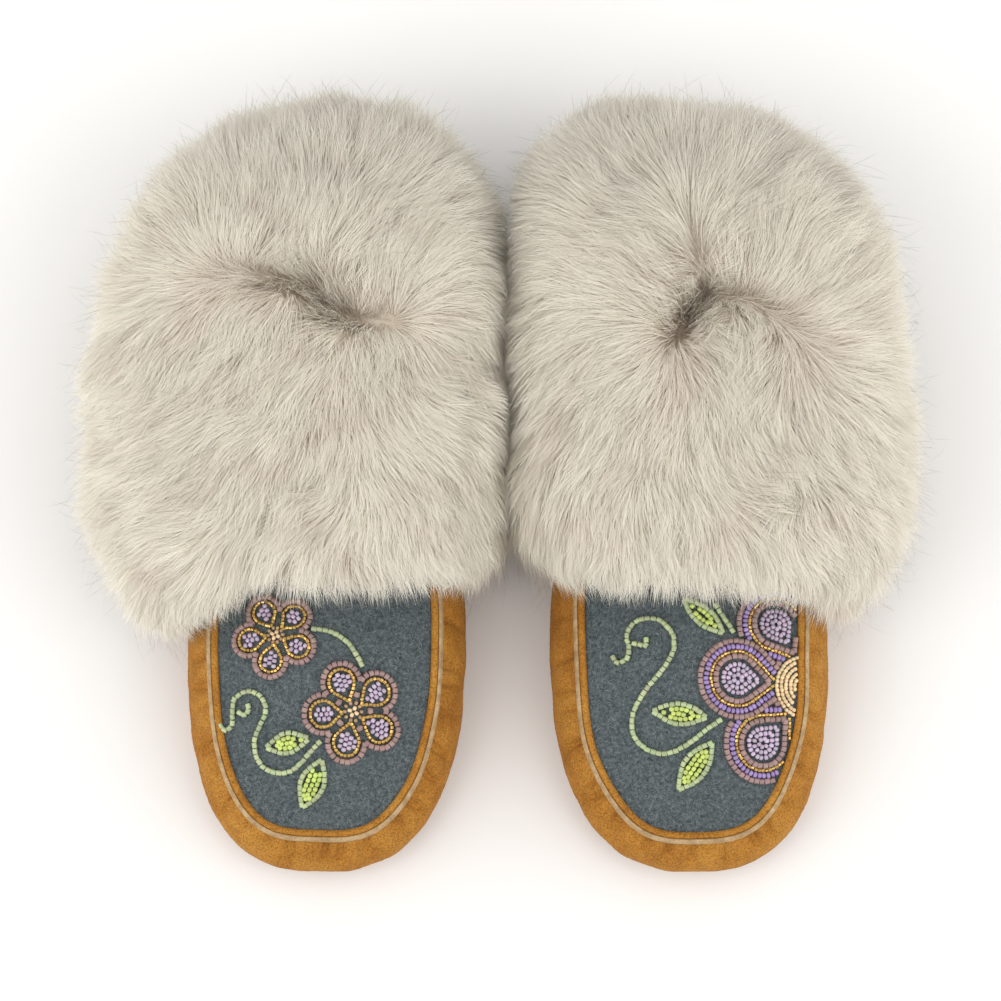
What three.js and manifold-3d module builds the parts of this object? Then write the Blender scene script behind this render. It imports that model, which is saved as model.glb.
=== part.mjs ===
// A pair of moccasin house slippers with a deep fur cuff, a beaded wool-felt vamp and a suede body.
// Millimetres, +Z up. The toes point along -Y, the heels along +Y, and the soles stand on z = 0.
// The slipper at -X is the wearer's right one. Each slipper is drawn in its own plan frame:
// u runs from its centre line towards the outer side of the foot, and y runs from the toe tip to the heel.
import * as THREE from "three";
import { mergeVertices } from "three/addons/utils/BufferGeometryUtils.js";
import Module from "manifold-3d";

const wasm = await Module();
wasm.setup();

// ---- driving dimensions ----
const seatGap = 0.35; // clearance between two pieces that are sewn or glued face to face
const centreSpacing = 127.4; // between the centre lines of the two slippers

// Footprint
const soleLength = 252;
const ballWidth = 98;
const waistWidth = 84;
const heelWidth = 76;
const ballAt = 0.325 * soleLength; // shares of the length from the toe tip
const waistAt = 0.627 * soleLength;
const heelAt = 0.85 * soleLength;
const toeRound = 82; // the toe cap starts to round this far from the tip
const toeBlunt = 2.6;
const heelRound = 42;
const heelBlunt = 2.2;
const toeLean = 2; // the toe tip leans this far to the outer side

// Layers of the shoe, from the ground up and from the outside in
const outsoleThick = 4;
const outsoleInset = 3;
const hideThick = 2.2;
const feltThick = 1.2;
const backingThick = 0.8;
const liningThick = 3;
const foamThick = 4;
const footbedThick = 5;

// Upper
const toeSeamHeight = 29; // of the seam between the body and the vamp, above the ground
const ballSeamHeight = 40;
const instepSeamHeight = 54;
const heelRimHeight = 58;
const instepAt = 0.595 * soleLength;
const vampCrown = 12; // the vamp's middle stands this far above its seam
const crownAt = 70;
const weltInset = 7.8; // from the footprint's edge to the welt's outer edge
const weltWidth = 3.8;
const weltThick = 2;
const bottomTuck = 4; // the wall tucks in this far under its widest place
const wallBulgeAt = 0.35; // the wall is widest at this share of its height
const spineFrom = 34; // the roof's ridge starts this far behind the toe and ends this far before the heel

// Foot opening and collar band
const openingLength = 104;
const openingBehind = 10; // from the opening's back edge to the end of the sole
const openingAt = soleLength - openingBehind - openingLength / 2;
const openingWidth = 66;
const bandThick = 2;
const bandTop = 86;

// Fur cuff
const furWidestAt = 0.563 * soleLength;
const furFront = 80;
const furOverHeel = 16; // the cuff hangs over behind the heel by this much
const furBack = soleLength + furOverHeel;
const furOuterReach = 81;
const furBetween = 1.6; // free space between the two cuffs
const furSplitAt = 0.683 * soleLength; // the front and back halves of the cuff meet here
const furBottom = 14;
const furTop = 97;
const furLip = 5; // the cuff's roll reaches this far inside the band, over its top edge
const furClear = 3.2; // room above the welt and the beads

// Heel tab and beadwork
const tabWidth = 22;
const tabThick = 1.6;
const tabFrom = 12;
const tabTo = 50;
const beadThick = 1.6;
const rowWidth = 2.4; // one row of beads
const flowerRadius = 17.5;
const flowerCusp = 12.9; // where two petals meet
const flowerCentre = 4.4;

// Mesh steps
const halfStations = 16;
const wallSteps = [0, 0.15, 0.38, 0.7, 1];
const roofSteps = [0.3, 0.62, 1];
const ovalSteps = 24;
const reach = 400; // longer than anything here

// ---- small helpers ----
const smooth = (t) => {
  const c = THREE.MathUtils.clamp(t, 0, 1);
  return c * c * (3 - 2 * c);
};
const between = (y, y0, a, y1, b) => a + (b - a) * smooth((y - y0) / (y1 - y0));
const roundEnd = (share, blunt) => Math.pow(1 - Math.pow(Math.max(0, 1 - share), blunt), 1 / blunt);

// A closed solid from points and triangles. Triangles that closed up at a pole are dropped,
// and a mesh drawn from the other side is turned the right way out.
function solidFrom(points, triangles) {
  const flat = triangles.flatMap((t) => t.flatMap((i) => points[i]));
  const geometry = new THREE.BufferGeometry();
  geometry.setAttribute("position", new THREE.Float32BufferAttribute(flat, 3));
  return solidOf(geometry);
}

function solidOf(geometry) {
  geometry.deleteAttribute("normal");
  geometry.deleteAttribute("uv");
  const merged = mergeVertices(geometry, 1e-3);
  const p = merged.attributes.position.array;
  const index = merged.index.array;
  const kept = [];
  let volume = 0;
  for (let i = 0; i < index.length; i += 3) {
    const [a, b, c] = index.slice(i, i + 3);
    if (a === b || b === c || c === a) continue;
    kept.push(a, b, c);
    const [A, B, C] = [a, b, c].map((k) => new THREE.Vector3(p[3 * k], p[3 * k + 1], p[3 * k + 2]));
    volume += A.dot(B.cross(C));
  }
  if (volume < 0) kept.reverse();
  const mesh = new wasm.Mesh({ numProp: 3, vertProperties: p, triVerts: new Uint32Array(kept) });
  return new wasm.Manifold(mesh);
}

// The largest body of a solid, without the slivers that a cut can leave.
function largest(solid) {
  return solid.decompose().reduce((a, b) => (a.volume() > b.volume() ? a : b));
}

function geometryOf(solid) {
  const mesh = solid.getMesh();
  const positions = new Float32Array(mesh.numVert * 3);
  for (let i = 0; i < mesh.numVert; i++) {
    positions.set(mesh.vertProperties.subarray(i * mesh.numProp, i * mesh.numProp + 3), i * 3);
  }
  const geometry = new THREE.BufferGeometry();
  geometry.setAttribute("position", new THREE.BufferAttribute(positions, 3));
  geometry.setIndex(new THREE.BufferAttribute(mesh.triVerts, 1));
  return geometry;
}

// Rings of equal length joined by a skin; the first ring, and the last if it is asked for, get a flat cap.
function ringSolid(rings, capLast) {
  const n = rings[0].length;
  const points = rings.flat();
  const triangles = [];
  for (let r = 0; r + 1 < rings.length; r++) {
    for (let i = 0; i < n; i++) {
      const a = r * n + i;
      const b = r * n + ((i + 1) % n);
      triangles.push([a, b, b + n], [a, b + n, a + n]);
    }
  }
  const cap = (start, flip) => {
    const middle = points.length;
    const ring = points.slice(start, start + n);
    points.push([0, 1, 2].map((k) => ring.reduce((sum, p) => sum + p[k], 0) / n));
    for (let i = 0; i < n; i++) {
      const a = start + i;
      const b = start + ((i + 1) % n);
      triangles.push(flip ? [middle, b, a] : [middle, a, b]);
    }
  };
  cap(0, true);
  if (capLast) cap((rings.length - 1) * n, false);
  return solidFrom(points, triangles);
}

function prism(outline, zFrom, zTo) {
  const shape = new THREE.Shape(outline.map(([x, y]) => new THREE.Vector2(x, y)));
  const geometry = new THREE.ExtrudeGeometry(shape, { depth: zTo - zFrom, bevelEnabled: false });
  return solidOf(geometry.translate(0, 0, zFrom));
}

function block(u0, u1, y0, y1, z0, z1) {
  const geometry = new THREE.BoxGeometry(u1 - u0, y1 - y0, z1 - z0);
  return solidOf(geometry.translate((u0 + u1) / 2, (y0 + y1) / 2, (z0 + z1) / 2));
}

// ---- the footprint, and the last that the shoe is built round ----
function halfWidth(y) {
  const free =
    y < waistAt
      ? between(y, ballAt, ballWidth / 2, waistAt, waistWidth / 2)
      : between(y, waistAt, waistWidth / 2, heelAt, heelWidth / 2);
  return free * roundEnd(y / toeRound, toeBlunt) * roundEnd((soleLength - y) / heelRound, heelBlunt);
}
const centreLine = (y) => toeLean * Math.pow(Math.max(0, 1 - y / toeRound), 2);

// Stations round the footprint: [u, y] and the outward normal, closely spaced at both ends.
const stations = (() => {
  const at = (k) => (soleLength * (1 - Math.cos((Math.PI * k) / halfStations))) / 2;
  const side = (k, sign) => [centreLine(at(k)) + sign * halfWidth(at(k)), at(k)];
  const ring = [];
  for (let k = 0; k <= halfStations; k++) ring.push(side(k, 1));
  for (let k = halfStations - 1; k > 0; k--) ring.push(side(k, -1));
  return ring.map(([u, y], i) => {
    const before = ring[(i + ring.length - 1) % ring.length];
    const after = ring[(i + 1) % ring.length];
    const normal = new THREE.Vector2(after[1] - before[1], before[0] - after[0]).normalize();
    return { u, y, nu: normal.x, ny: normal.y };
  });
})();
const inset = (depth) => stations.map((s) => [s.u - s.nu * depth, s.y - s.ny * depth]);

function seamHeight(y) {
  if (y < ballAt) return between(y, 0, toeSeamHeight, ballAt, ballSeamHeight);
  if (y < instepAt) return between(y, ballAt, ballSeamHeight, instepAt, instepSeamHeight);
  return between(y, instepAt, instepSeamHeight, heelAt, heelRimHeight);
}
const crown = (y) => vampCrown * smooth(y / crownAt);

function wallInset(share) {
  if (share < wallBulgeAt) return bottomTuck * Math.pow(1 - share / wallBulgeAt, 2);
  return weltInset * Math.pow((share - wallBulgeAt) / (1 - wallBulgeAt), 2);
}

const bodyBottom = outsoleThick + seatGap;
const lasts = new Map();
// The shoe's outer shape, taken in by depth on every side: walls up to the seam, then the roof up to its ridge.
function last(depth) {
  if (lasts.has(depth)) return lasts.get(depth);
  const rings = wallSteps.map((share) =>
    inset(wallInset(share) + depth).map(([u, y]) => {
      const low = bodyBottom + depth;
      return [u, y, low + share * (seamHeight(y) - depth - low)];
    }),
  );
  const seam = rings[rings.length - 1];
  for (const step of roofSteps) {
    rings.push(
      seam.map(([u, y], i) => {
        const ridge = THREE.MathUtils.clamp(stations[i].y, spineFrom, soleLength - spineFrom);
        const v = y + (ridge - y) * step;
        const rise = crown(v) * (1 - Math.pow(1 - step, 2));
        return [u + (centreLine(ridge) - u) * step, v, seamHeight(v) + rise - depth];
      }),
    );
  }
  lasts.set(depth, ringSolid(rings, false));
  return lasts.get(depth);
}
const shell = (outer, inner) => last(outer).subtract(last(inner));

// ---- plan outlines ----
function oval(halfWide, halfLong, steps = ovalSteps) {
  return Array.from({ length: steps }, (_, i) => {
    const a = (2 * Math.PI * i) / steps;
    return [halfWide * Math.sin(a), openingAt - halfLong * Math.cos(a)];
  });
}
// The vamp's plan: the footprint taken in by depth, as far back as the middle of the foot opening.
const vampPlan = (depth) => {
  const ring = inset(depth);
  const right = ring.slice(0, halfStations + 1).filter(([, y]) => y < openingAt);
  const left = ring.slice(halfStations + 1).filter(([, y]) => y < openingAt);
  return [...right, ...left];
};

const seamMiddle = weltInset + weltWidth / 2;
const openingHole = () => prism(oval(openingWidth / 2, openingLength / 2), bodyBottom + 20, reach);

// ---- pieces of the shoe ----
const innerDepth = hideThick + seatGap + liningThick + seatGap;
const floorTop = bodyBottom + hideThick + seatGap;
const liningFrom = floorTop + foamThick + seatGap;

function outsole() {
  return prism(inset(outsoleInset), 0, outsoleThick);
}

function hideBody() {
  const vampHole = prism(vampPlan(seamMiddle - seatGap / 2), bodyBottom + 20, reach);
  return shell(0, hideThick).subtract(vampHole).subtract(openingHole());
}

function slab(depth, zFrom, thick) {
  return last(depth).intersect(block(-reach, reach, -reach, reach, zFrom, zFrom + thick));
}
const insoleFoam = () => slab(hideThick + seatGap, floorTop, foamThick);
const fleeceFootbed = () => slab(innerDepth, liningFrom, footbedThick);

function fleeceLining() {
  const outer = hideThick + seatGap;
  const aboveFoam = block(-reach, reach, -reach, reach, liningFrom, reach);
  return shell(outer, outer + liningThick).intersect(aboveFoam).subtract(openingHole());
}

function vampLayer(depth, thick) {
  const plan = prism(vampPlan(seamMiddle + seatGap / 2), bodyBottom + 20, reach);
  return shell(depth, depth + thick).intersect(plan).subtract(openingHole());
}
const vampFelt = () => vampLayer(0, feltThick);
const vampBacking = () => vampLayer(feltThick + seatGap / 2, backingThick);

function vampWelt() {
  const outer = prism(vampPlan(weltInset), bodyBottom, reach);
  const inner = prism(vampPlan(weltInset + weltWidth), 0, 2 * reach);
  const behind = block(-reach, reach, openingAt - openingLength / 4, reach, -reach, reach);
  return shell(-seatGap - weltThick, -seatGap).intersect(outer).subtract(inner)
    .subtract(openingHole()).subtract(behind);
}

function heelTab() {
  const place = block(-tabWidth / 2, tabWidth / 2, soleLength - heelRound / 2, reach, tabFrom, tabTo);
  return shell(-seatGap - tabThick, -seatGap).intersect(place);
}

const bandOuter = [openingWidth / 2 - seatGap, openingLength / 2 - seatGap];
function collarBand() {
  const outer = prism(oval(...bandOuter), bodyBottom + 20, bandTop);
  const inner = prism(oval(bandOuter[0] - bandThick, bandOuter[1] - bandThick), 0, reach);
  return outer.subtract(inner).subtract(last(innerDepth));
}

// The fur cuff's plan: a blunt oval, wider on the outer side and pressed flat against the other slipper inside.
const furInnerReach = centreSpacing / 2 - furBetween / 2;
function furPlan(steps = 32) {
  return Array.from({ length: steps }, (_, i) => {
    const a = (2 * Math.PI * i) / steps;
    const [s, c] = [Math.sin(a), -Math.cos(a)];
    const wide = s > 0 ? furOuterReach : furInnerReach;
    const long = c > 0 ? furBack - furWidestAt : furWidestAt - furFront;
    const blunt = s > 0 ? (c > 0 ? 2.2 : 2.8) : 3.2;
    const r = Math.pow(Math.pow(Math.abs(s), blunt) + Math.pow(Math.abs(c), blunt), -1 / blunt);
    return [wide * s * r, furWidestAt + long * c * r];
  });
}

// Levels of the cuff: share of its height, and how far its plan is drawn in towards the opening.
const furLevels = [[0, 0.86], [0.12, 0.96], [0.34, 1], [0.56, 0.985], [0.75, 0.91], [0.89, 0.8], [1, 0.66]];
function furCuff(yFrom, yTo) {
  const plan = furPlan();
  const rings = furLevels.map(([share, scale]) =>
    plan.map(([u, y]) => [
      u * scale,
      openingAt + (y - openingAt) * scale,
      furBottom + share * (furTop - furBottom),
    ]),
  );
  const [wide, long] = bandOuter;
  const overBand = prism(oval(wide + seatGap, long + seatGap), -reach, bandTop + seatGap);
  const throughHole = prism(oval(wide - bandThick - furLip, long - bandThick - furLip), -reach, reach);
  const half = block(-reach, reach, yFrom, yTo, -reach, reach);
  return ringSolid(rings, true).intersect(half)
    .subtract(last(-furClear)).subtract(overBand).subtract(throughHole);
}
const frontFur = () => furCuff(0, furSplitAt - seatGap / 2);
const backFur = () => furCuff(furSplitAt + seatGap / 2, reach);

// ---- beadwork: thin plates that follow the felt ----
const feltWindow = () => prism(vampPlan(weltInset + weltWidth + seatGap), 0, reach);
// The beads are laid out for a ball of this width, and their plan widens and narrows with the ball.
const layoutWidth = 98;
const laid = (outline) => outline.map(([x, y]) => [x * (ballWidth / layoutWidth), y]);
function beaded(outline) {
  const area = prism(laid(outline), bodyBottom + 20, reach);
  return shell(-seatGap - beadThick, -seatGap).intersect(area).intersect(feltWindow());
}

// A ribbon of the given width along a smooth curve through the points.
function ribbon(points, width = rowWidth, steps = 3 * points.length) {
  const curve = new THREE.CatmullRomCurve3(points.map(([x, y]) => new THREE.Vector3(x, y, 0)));
  const right = [];
  const left = [];
  for (let i = 0; i <= steps; i++) {
    const p = curve.getPointAt(i / steps);
    const t = curve.getTangentAt(i / steps);
    right.push([p.x + (t.y * width) / 2, p.y - (t.x * width) / 2]);
    left.unshift([p.x - (t.y * width) / 2, p.y + (t.x * width) / 2]);
  }
  return [...right, ...left];
}

// A leaf: two equal arcs from tip to tip.
function leaf([x0, y0], [x1, y1], width, steps = 8) {
  const along = new THREE.Vector2(x1 - x0, y1 - y0);
  const across = new THREE.Vector2(-along.y, along.x).normalize();
  const edge = (sign, t) => {
    const side = (sign * width * Math.sin(Math.PI * t)) / 2;
    return [x0 + along.x * t + across.x * side, y0 + along.y * t + across.y * side];
  };
  const up = Array.from({ length: steps }, (_, i) => edge(1, i / steps));
  const down = Array.from({ length: steps }, (_, i) => edge(-1, 1 - i / steps));
  return [...up, ...down];
}

// A petal: a circle with two tangents to the tip.
function petal([cx, cy], radius, [tx, ty], steps = 14) {
  const away = Math.hypot(tx - cx, ty - cy);
  const facing = Math.atan2(ty - cy, tx - cx);
  const half = Math.acos(Math.min(0.95, radius / away));
  const arc = Array.from({ length: steps + 1 }, (_, i) => {
    const a = facing + half + ((2 * Math.PI - 2 * half) * i) / steps;
    return [cx + radius * Math.cos(a), cy + radius * Math.sin(a)];
  });
  return away > radius ? [...arc, [tx, ty]] : arc.slice(0, -1);
}

const disc = ([cx, cy], radius, steps = 16) =>
  Array.from({ length: steps }, (_, i) => {
    const a = (2 * Math.PI * i) / steps;
    return [cx + radius * Math.cos(a), cy + radius * Math.sin(a)];
  });

// A flower of five petals round an open middle.
function rosette([cx, cy], turn, scale = 1, steps = 40) {
  return Array.from({ length: steps }, (_, i) => {
    const a = (2 * Math.PI * i) / steps;
    const lobe = Math.pow(Math.abs(Math.cos(2.5 * (a - THREE.MathUtils.degToRad(turn)))), 0.8);
    const r = scale * (flowerCusp + (flowerRadius - flowerCusp) * lobe);
    return [cx + r * Math.cos(a), cy + r * Math.sin(a)];
  });
}
const flower = (centre, turn, scale = 1) =>
  beaded(rosette(centre, turn, scale)).subtract(prism(laid(disc(centre, scale * flowerCentre + seatGap)), 0, reach));

// Right slipper: two small flowers, the stem between them, a curling vine and two leaves.
const lowFlower = [-10.1, 51.3];
const highFlower = [16.6, 77.2];
const highScale = 0.86;
const rightBeads = {
  flower_low_petals: () => flower(lowFlower, -4.4),
  flower_low_centre: () => beaded(disc(lowFlower, flowerCentre)),
  flower_high_petals: () => flower(highFlower, -80, highScale),
  flower_high_centre: () => beaded(disc(highFlower, highScale * flowerCentre)),
  flower_stem: () =>
    beaded(ribbon([[3.4, 79.3], [-1.8, 78.1], [-5.9, 76.2], [-9.1, 73.3], [-11.5, 69.5], [-12.8, 66.9]])),
  vine: () =>
    beaded(
      ribbon([
        [36.8, 49.4], [34.3, 46.1], [31.7, 47.9], [31.5, 52.9], [30.4, 56.6], [25.9, 58.6],
        [21.7, 56.6], [19.9, 52.2], [21.7, 47.6], [23.8, 42.8], [23.8, 38.5], [21.7, 34.1],
        [16.8, 31.4], [12.2, 31.7], [8.4, 34.1], [4.9, 37.9], [1.6, 41.2],
      ]),
    ),
  vine_curl: () => beaded(ribbon([[29.4, 51.7], [27.3, 50.9], [25.9, 52.5], [26.2, 54.6]], rowWidth * 0.8, 6)),
  leaf_side: () => beaded(leaf([19.9, 39.7], [5.2, 42.5], 8.2)),
  leaf_toe: () => beaded(leaf([7.7, 19.9], [0.7, 35.6], 9.8)),
};

// Left slipper: half of a large blossom against the welt, a vine, three leaves and a short stem.
const petalRadius = 13.7;
const petalMiddle = [[15.4, 62.4], [36.1, 61]];
const blossomAt = [38.6, 60.7];
const blossomWide = 10;
const blossomLong = 10.8;
// One of the outer petals, without the places that the middle petal and the blossom's middle take up.
const outerPetal = (heart, tip) =>
  beaded(petal(heart, petalRadius, tip))
    .subtract(prism(laid(petal(petalMiddle[0], petalRadius + seatGap, petalMiddle[1])), 0, reach))
    .subtract(prism(laid(blossomCentre(seatGap)), 0, reach));
const leftBeads = {
  petal_middle: () =>
    beaded(petal(petalMiddle[0], petalRadius, petalMiddle[1])).subtract(
      prism(laid(blossomCentre(seatGap)), 0, reach),
    ),
  petal_toe: () => outerPetal([24.4, 41.4], [38.4, 56.6]),
  petal_heel: () => outerPetal([28.8, 81.6], [40.2, 64.4]),
  blossom_centre: () => beaded(blossomCentre(0)),
  vine: () =>
    beaded(
      ribbon([
        [9.2, 48.2], [4.5, 45.1], [-1, 40.9], [-6.3, 38.3], [-11.5, 37.7], [-17.1, 40.2], [-20.3, 44.6],
        [-20.6, 49.6], [-18.9, 54], [-15, 59.7], [-10.8, 64.6], [-7, 70.4], [-6.3, 75.3], [-8.4, 79.6],
        [-12.2, 82.6], [-17.1, 82.8], [-20.6, 80.9], [-22.4, 77.1], [-21.7, 73.8], [-22, 69.8],
        [-23.8, 68.4], [-26, 68.5], [-27.3, 70.7],
      ]),
    ),
  vine_curl: () => beaded(ribbon([[-19.9, 74.4], [-18.2, 74], [-16.1, 73.5], [-15.7, 76.5]], rowWidth * 0.8, 6)),
  leaf_side: () => beaded(leaf([-13.6, 51.6], [4.9, 49.4], 8.4)),
  leaf_toe: () => beaded(leaf([-4.5, 25.8], [7, 41.2], 9.6)),
  leaf_heel: () => beaded(leaf([-2.9, 89.4], [10.5, 77.6], 7)),
  leaf_stem: () => beaded(ribbon([[7, 87.4], [10.4, 82.7], [13.7, 78.1]])),
};
// The blossom's middle: half an oval whose flat side lies along the welt.
function blossomCentre(clear) {
  return disc([0, 0], 1).map(([x, y]) => [
    blossomAt[0] + x * (blossomWide + clear),
    blossomAt[1] + y * (blossomLong + clear),
  ]);
}

// ---- materials ----
const matt = (color, roughness) => new THREE.MeshStandardMaterial({ color, roughness, metalness: 0 });
const materials = {
  sole: matt(0x8a5a2c, 0.9),
  suede: matt(0xb5803c, 0.95),
  foam: matt(0xd8cdb8, 0.9),
  fleece: matt(0xe6dfcf, 1),
  felt: matt(0x56626a, 1),
  backing: matt(0xc9bfae, 0.9),
  fur: matt(0xd5cebc, 1),
  mauve: matt(0x94737a, 0.4),
  lilac: matt(0xa58ec0, 0.35),
  ivory: matt(0xe5cfa0, 0.4),
  green: matt(0xa9c27e, 0.35),
};

// ---- assembly ----
const shoePieces = {
  outsole: [outsole, materials.sole],
  hide_body: [hideBody, materials.suede],
  insole_foam: [insoleFoam, materials.foam],
  fleece_footbed: [fleeceFootbed, materials.fleece],
  fleece_lining: [fleeceLining, materials.fleece],
  vamp_felt: [vampFelt, materials.felt],
  vamp_backing: [vampBacking, materials.backing],
  vamp_welt: [vampWelt, materials.suede],
  heel_tab: [heelTab, materials.suede],
  collar_band: [collarBand, materials.suede],
  fur_front: [frontFur, materials.fur],
  fur_back: [backFur, materials.fur],
};

function beadMaterial(name) {
  if (name.includes("centre")) return materials.ivory;
  if (name.startsWith("petal")) return materials.lilac;
  if (name.startsWith("flower") && name.endsWith("petals")) return materials.mauve;
  return materials.green;
}

// Turns u into X: the right slipper's outer side is at -X, so its geometry is mirrored, faces and all.
function toSide(geometry, outward) {
  if (outward > 0) return geometry;
  const p = geometry.attributes.position;
  for (let i = 0; i < p.count; i++) p.setX(i, -p.getX(i));
  const index = geometry.index.array;
  for (let i = 0; i < index.length; i += 3) [index[i + 1], index[i + 2]] = [index[i + 2], index[i + 1]];
  return geometry;
}

function slipper(prefix, outward, beads) {
  const group = new THREE.Group();
  const add = (name, make, material) => {
    const mesh = new THREE.Mesh(toSide(geometryOf(largest(make())), outward), material);
    mesh.name = `${prefix}_${name}`;
    group.add(mesh);
  };
  for (const [name, [make, material]] of Object.entries(shoePieces)) add(name, make, material);
  for (const [name, make] of Object.entries(beads)) add(name, make, beadMaterial(name));
  group.position.x = (outward * centreSpacing) / 2;
  return group;
}

const pair = new THREE.Group();
pair.add(slipper("right", -1, rightBeads), slipper("left", 1, leftBeads));
pair.position.y = -furBack / 2;

export default pair;
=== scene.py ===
import bmesh
import bpy
import numpy as np
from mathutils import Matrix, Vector


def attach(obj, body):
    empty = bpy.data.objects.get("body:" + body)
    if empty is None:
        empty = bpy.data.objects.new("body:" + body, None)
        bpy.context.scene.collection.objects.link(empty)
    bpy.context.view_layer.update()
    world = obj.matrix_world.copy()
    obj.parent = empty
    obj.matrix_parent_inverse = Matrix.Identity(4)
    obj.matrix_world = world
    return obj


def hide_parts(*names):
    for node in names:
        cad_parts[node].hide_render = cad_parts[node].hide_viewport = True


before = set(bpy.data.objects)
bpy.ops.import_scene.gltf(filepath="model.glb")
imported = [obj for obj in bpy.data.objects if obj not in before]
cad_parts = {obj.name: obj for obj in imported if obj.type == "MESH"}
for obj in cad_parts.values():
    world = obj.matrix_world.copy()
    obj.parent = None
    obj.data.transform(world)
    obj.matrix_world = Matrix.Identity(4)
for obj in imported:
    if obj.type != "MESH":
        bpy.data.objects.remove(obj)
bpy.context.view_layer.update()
print("frame loaded")

# Every shape is drawn in its slipper's own millimetres: u outward from the centre line, y from the toe tip
# to the heel, z up. toRow puts it in the row frame, where the right slipper is the mirrored one.
shoe = {
    "spacing": 127.4, "backShift": 134.0, "length": 252.0,
    "ballWide": 98.0, "waistWide": 84.0, "heelWide": 76.0,
    "ballAt": 81.9, "waistAt": 158.0, "heelAt": 214.2, "instepAt": 150.0,
    "toeRound": 82.0, "toeBlunt": 2.6, "heelRound": 42.0, "heelBlunt": 2.2, "toeLean": 2.0,
    "bottom": 4.35, "toeSeam": 29.0, "ballSeam": 40.0, "instepSeam": 54.0, "heelRim": 58.0,
    "crown": 12.0, "crownAt": 70.0, "weltInset": 7.8, "tuck": 4.0, "bulgeAt": 0.35, "spine": 34.0,
    "openAt": 190.0, "openLong": 104.0, "openWide": 66.0,
    "stations": 340,
}
sides = {"right": -1, "left": 1}


# small sums
def smooth(t):
    # three t squared less two t cubed, held between 0 and 1
    t = np.clip(t, 0, 1)
    return t * t * (3 - 2 * t)


def between(y, y0, a, y1, b):
    # goes from a at y0 to b at y1 by the smooth curve
    return a + (b - a) * smooth((y - y0) / (y1 - y0))


def roundEnd(share, blunt):
    # a superellipse's quarter: the blunt-th root of one less the share still to go, to that power
    return (1 - np.maximum(0, 1 - share) ** blunt) ** (1 / blunt)


def halfWidth(y):
    # smooth from ball to waist to heel, times the rounding of the toe and of the heel
    free = np.where(
        y < shoe["waistAt"],
        between(y, shoe["ballAt"], shoe["ballWide"] / 2, shoe["waistAt"], shoe["waistWide"] / 2),
        between(y, shoe["waistAt"], shoe["waistWide"] / 2, shoe["heelAt"], shoe["heelWide"] / 2),
    )
    toe = roundEnd(y / shoe["toeRound"], shoe["toeBlunt"])
    heel = roundEnd((shoe["length"] - y) / shoe["heelRound"], shoe["heelBlunt"])
    return free * toe * heel


def centreLine(y):
    # leans inwards at the toe as the square of the share still to go
    return shoe["toeLean"] * np.maximum(0, 1 - y / shoe["toeRound"]) ** 2


def seamHeight(y):
    # smooth steps from toe to ball, to instep, to heel rim
    front = between(y, 0, shoe["toeSeam"], shoe["ballAt"], shoe["ballSeam"])
    middle = between(y, shoe["ballAt"], shoe["ballSeam"], shoe["instepAt"], shoe["instepSeam"])
    back = between(y, shoe["instepAt"], shoe["instepSeam"], shoe["heelAt"], shoe["heelRim"])
    return np.where(y < shoe["ballAt"], front, np.where(y < shoe["instepAt"], middle, back))


def wallInset(share):
    # tucks in below the bulge and leans in above it, both as a square
    low = shoe["tuck"] * np.maximum(0, 1 - share / shoe["bulgeAt"]) ** 2
    high = shoe["weltInset"] * np.maximum(0, (share - shoe["bulgeAt"]) / (1 - shoe["bulgeAt"])) ** 2
    return low + high


def unit(v):
    # each vector over its own length
    return v / np.maximum(np.linalg.norm(v, axis=-1, keepdims=True), 1e-9)


def makeWobble(seed, size, waves=7):
    # a sum of sine waves in random directions, about as long as size, between -1 and 1
    dice = np.random.default_rng(seed)
    pull = unit(dice.normal(size=(waves, 3))) * (2 * np.pi / size) * dice.uniform(0.6, 1.5, (waves, 1))
    phase = dice.uniform(0, 2 * np.pi, waves)
    return lambda p: np.sin(np.asarray(p) @ pull.T + phase).mean(-1) * 1.6


# the outline of the sole, as stations that pair up on both sides
def makeOutline():
    # stations at equal steps along the edge: the centre line plus or minus the half width
    n = shoe["stations"]
    k = np.concatenate([np.arange(n + 1), np.arange(n - 1, 0, -1)])
    sign = np.concatenate([np.ones(n + 1), -np.ones(n - 1)])
    dense = shoe["length"] * (1 - np.cos(np.linspace(0, np.pi, 6000))) / 2
    walked = np.concatenate([[0], np.cumsum(np.hypot(np.diff(halfWidth(dense)), np.diff(dense)))])
    y = np.interp(k / n * walked[-1], walked, dense)  # equal steps along the edge
    u = centreLine(y) + sign * halfWidth(y)
    du, dy = np.roll(u, -1) - np.roll(u, 1), np.roll(y, -1) - np.roll(y, 1)
    long = np.hypot(du, dy)
    steps = np.hypot(np.diff(u), np.diff(y))
    along = np.concatenate([[0], np.cumsum(steps)])
    return {"u": u, "y": y, "nu": dy / long, "ny": -du / long, "along": along}


rim = makeOutline()
stationCount = len(rim["u"])
ridgeY = np.clip(rim["y"], shoe["spine"], shoe["length"] - shoe["spine"])
ridgeU = centreLine(ridgeY)


def inset(depth):
    # the outline moved in along its own normals by depth
    return rim["u"] - rim["nu"] * depth, rim["y"] - rim["ny"] * depth


seamU, seamY = inset(shoe["weltInset"])
poles = (shoe["spine"], shoe["length"] - shoe["spine"])
poleTables = []
for poleY in poles:  # how far the seam stands from each end of the ridge, by direction
    turn = np.arctan2(seamY - poleY, seamU - centreLine(poleY))
    order = np.argsort(turn)
    poleTables.append((turn[order], np.hypot(seamU - centreLine(poleY), seamY - poleY)[order]))
rightSide = slice(0, shoe["stations"] + 1)
leftOrder = np.argsort(seamY[shoe["stations"]:])
leftTable = (seamY[shoe["stations"]:][leftOrder], seamU[shoe["stations"]:][leftOrder])


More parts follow.
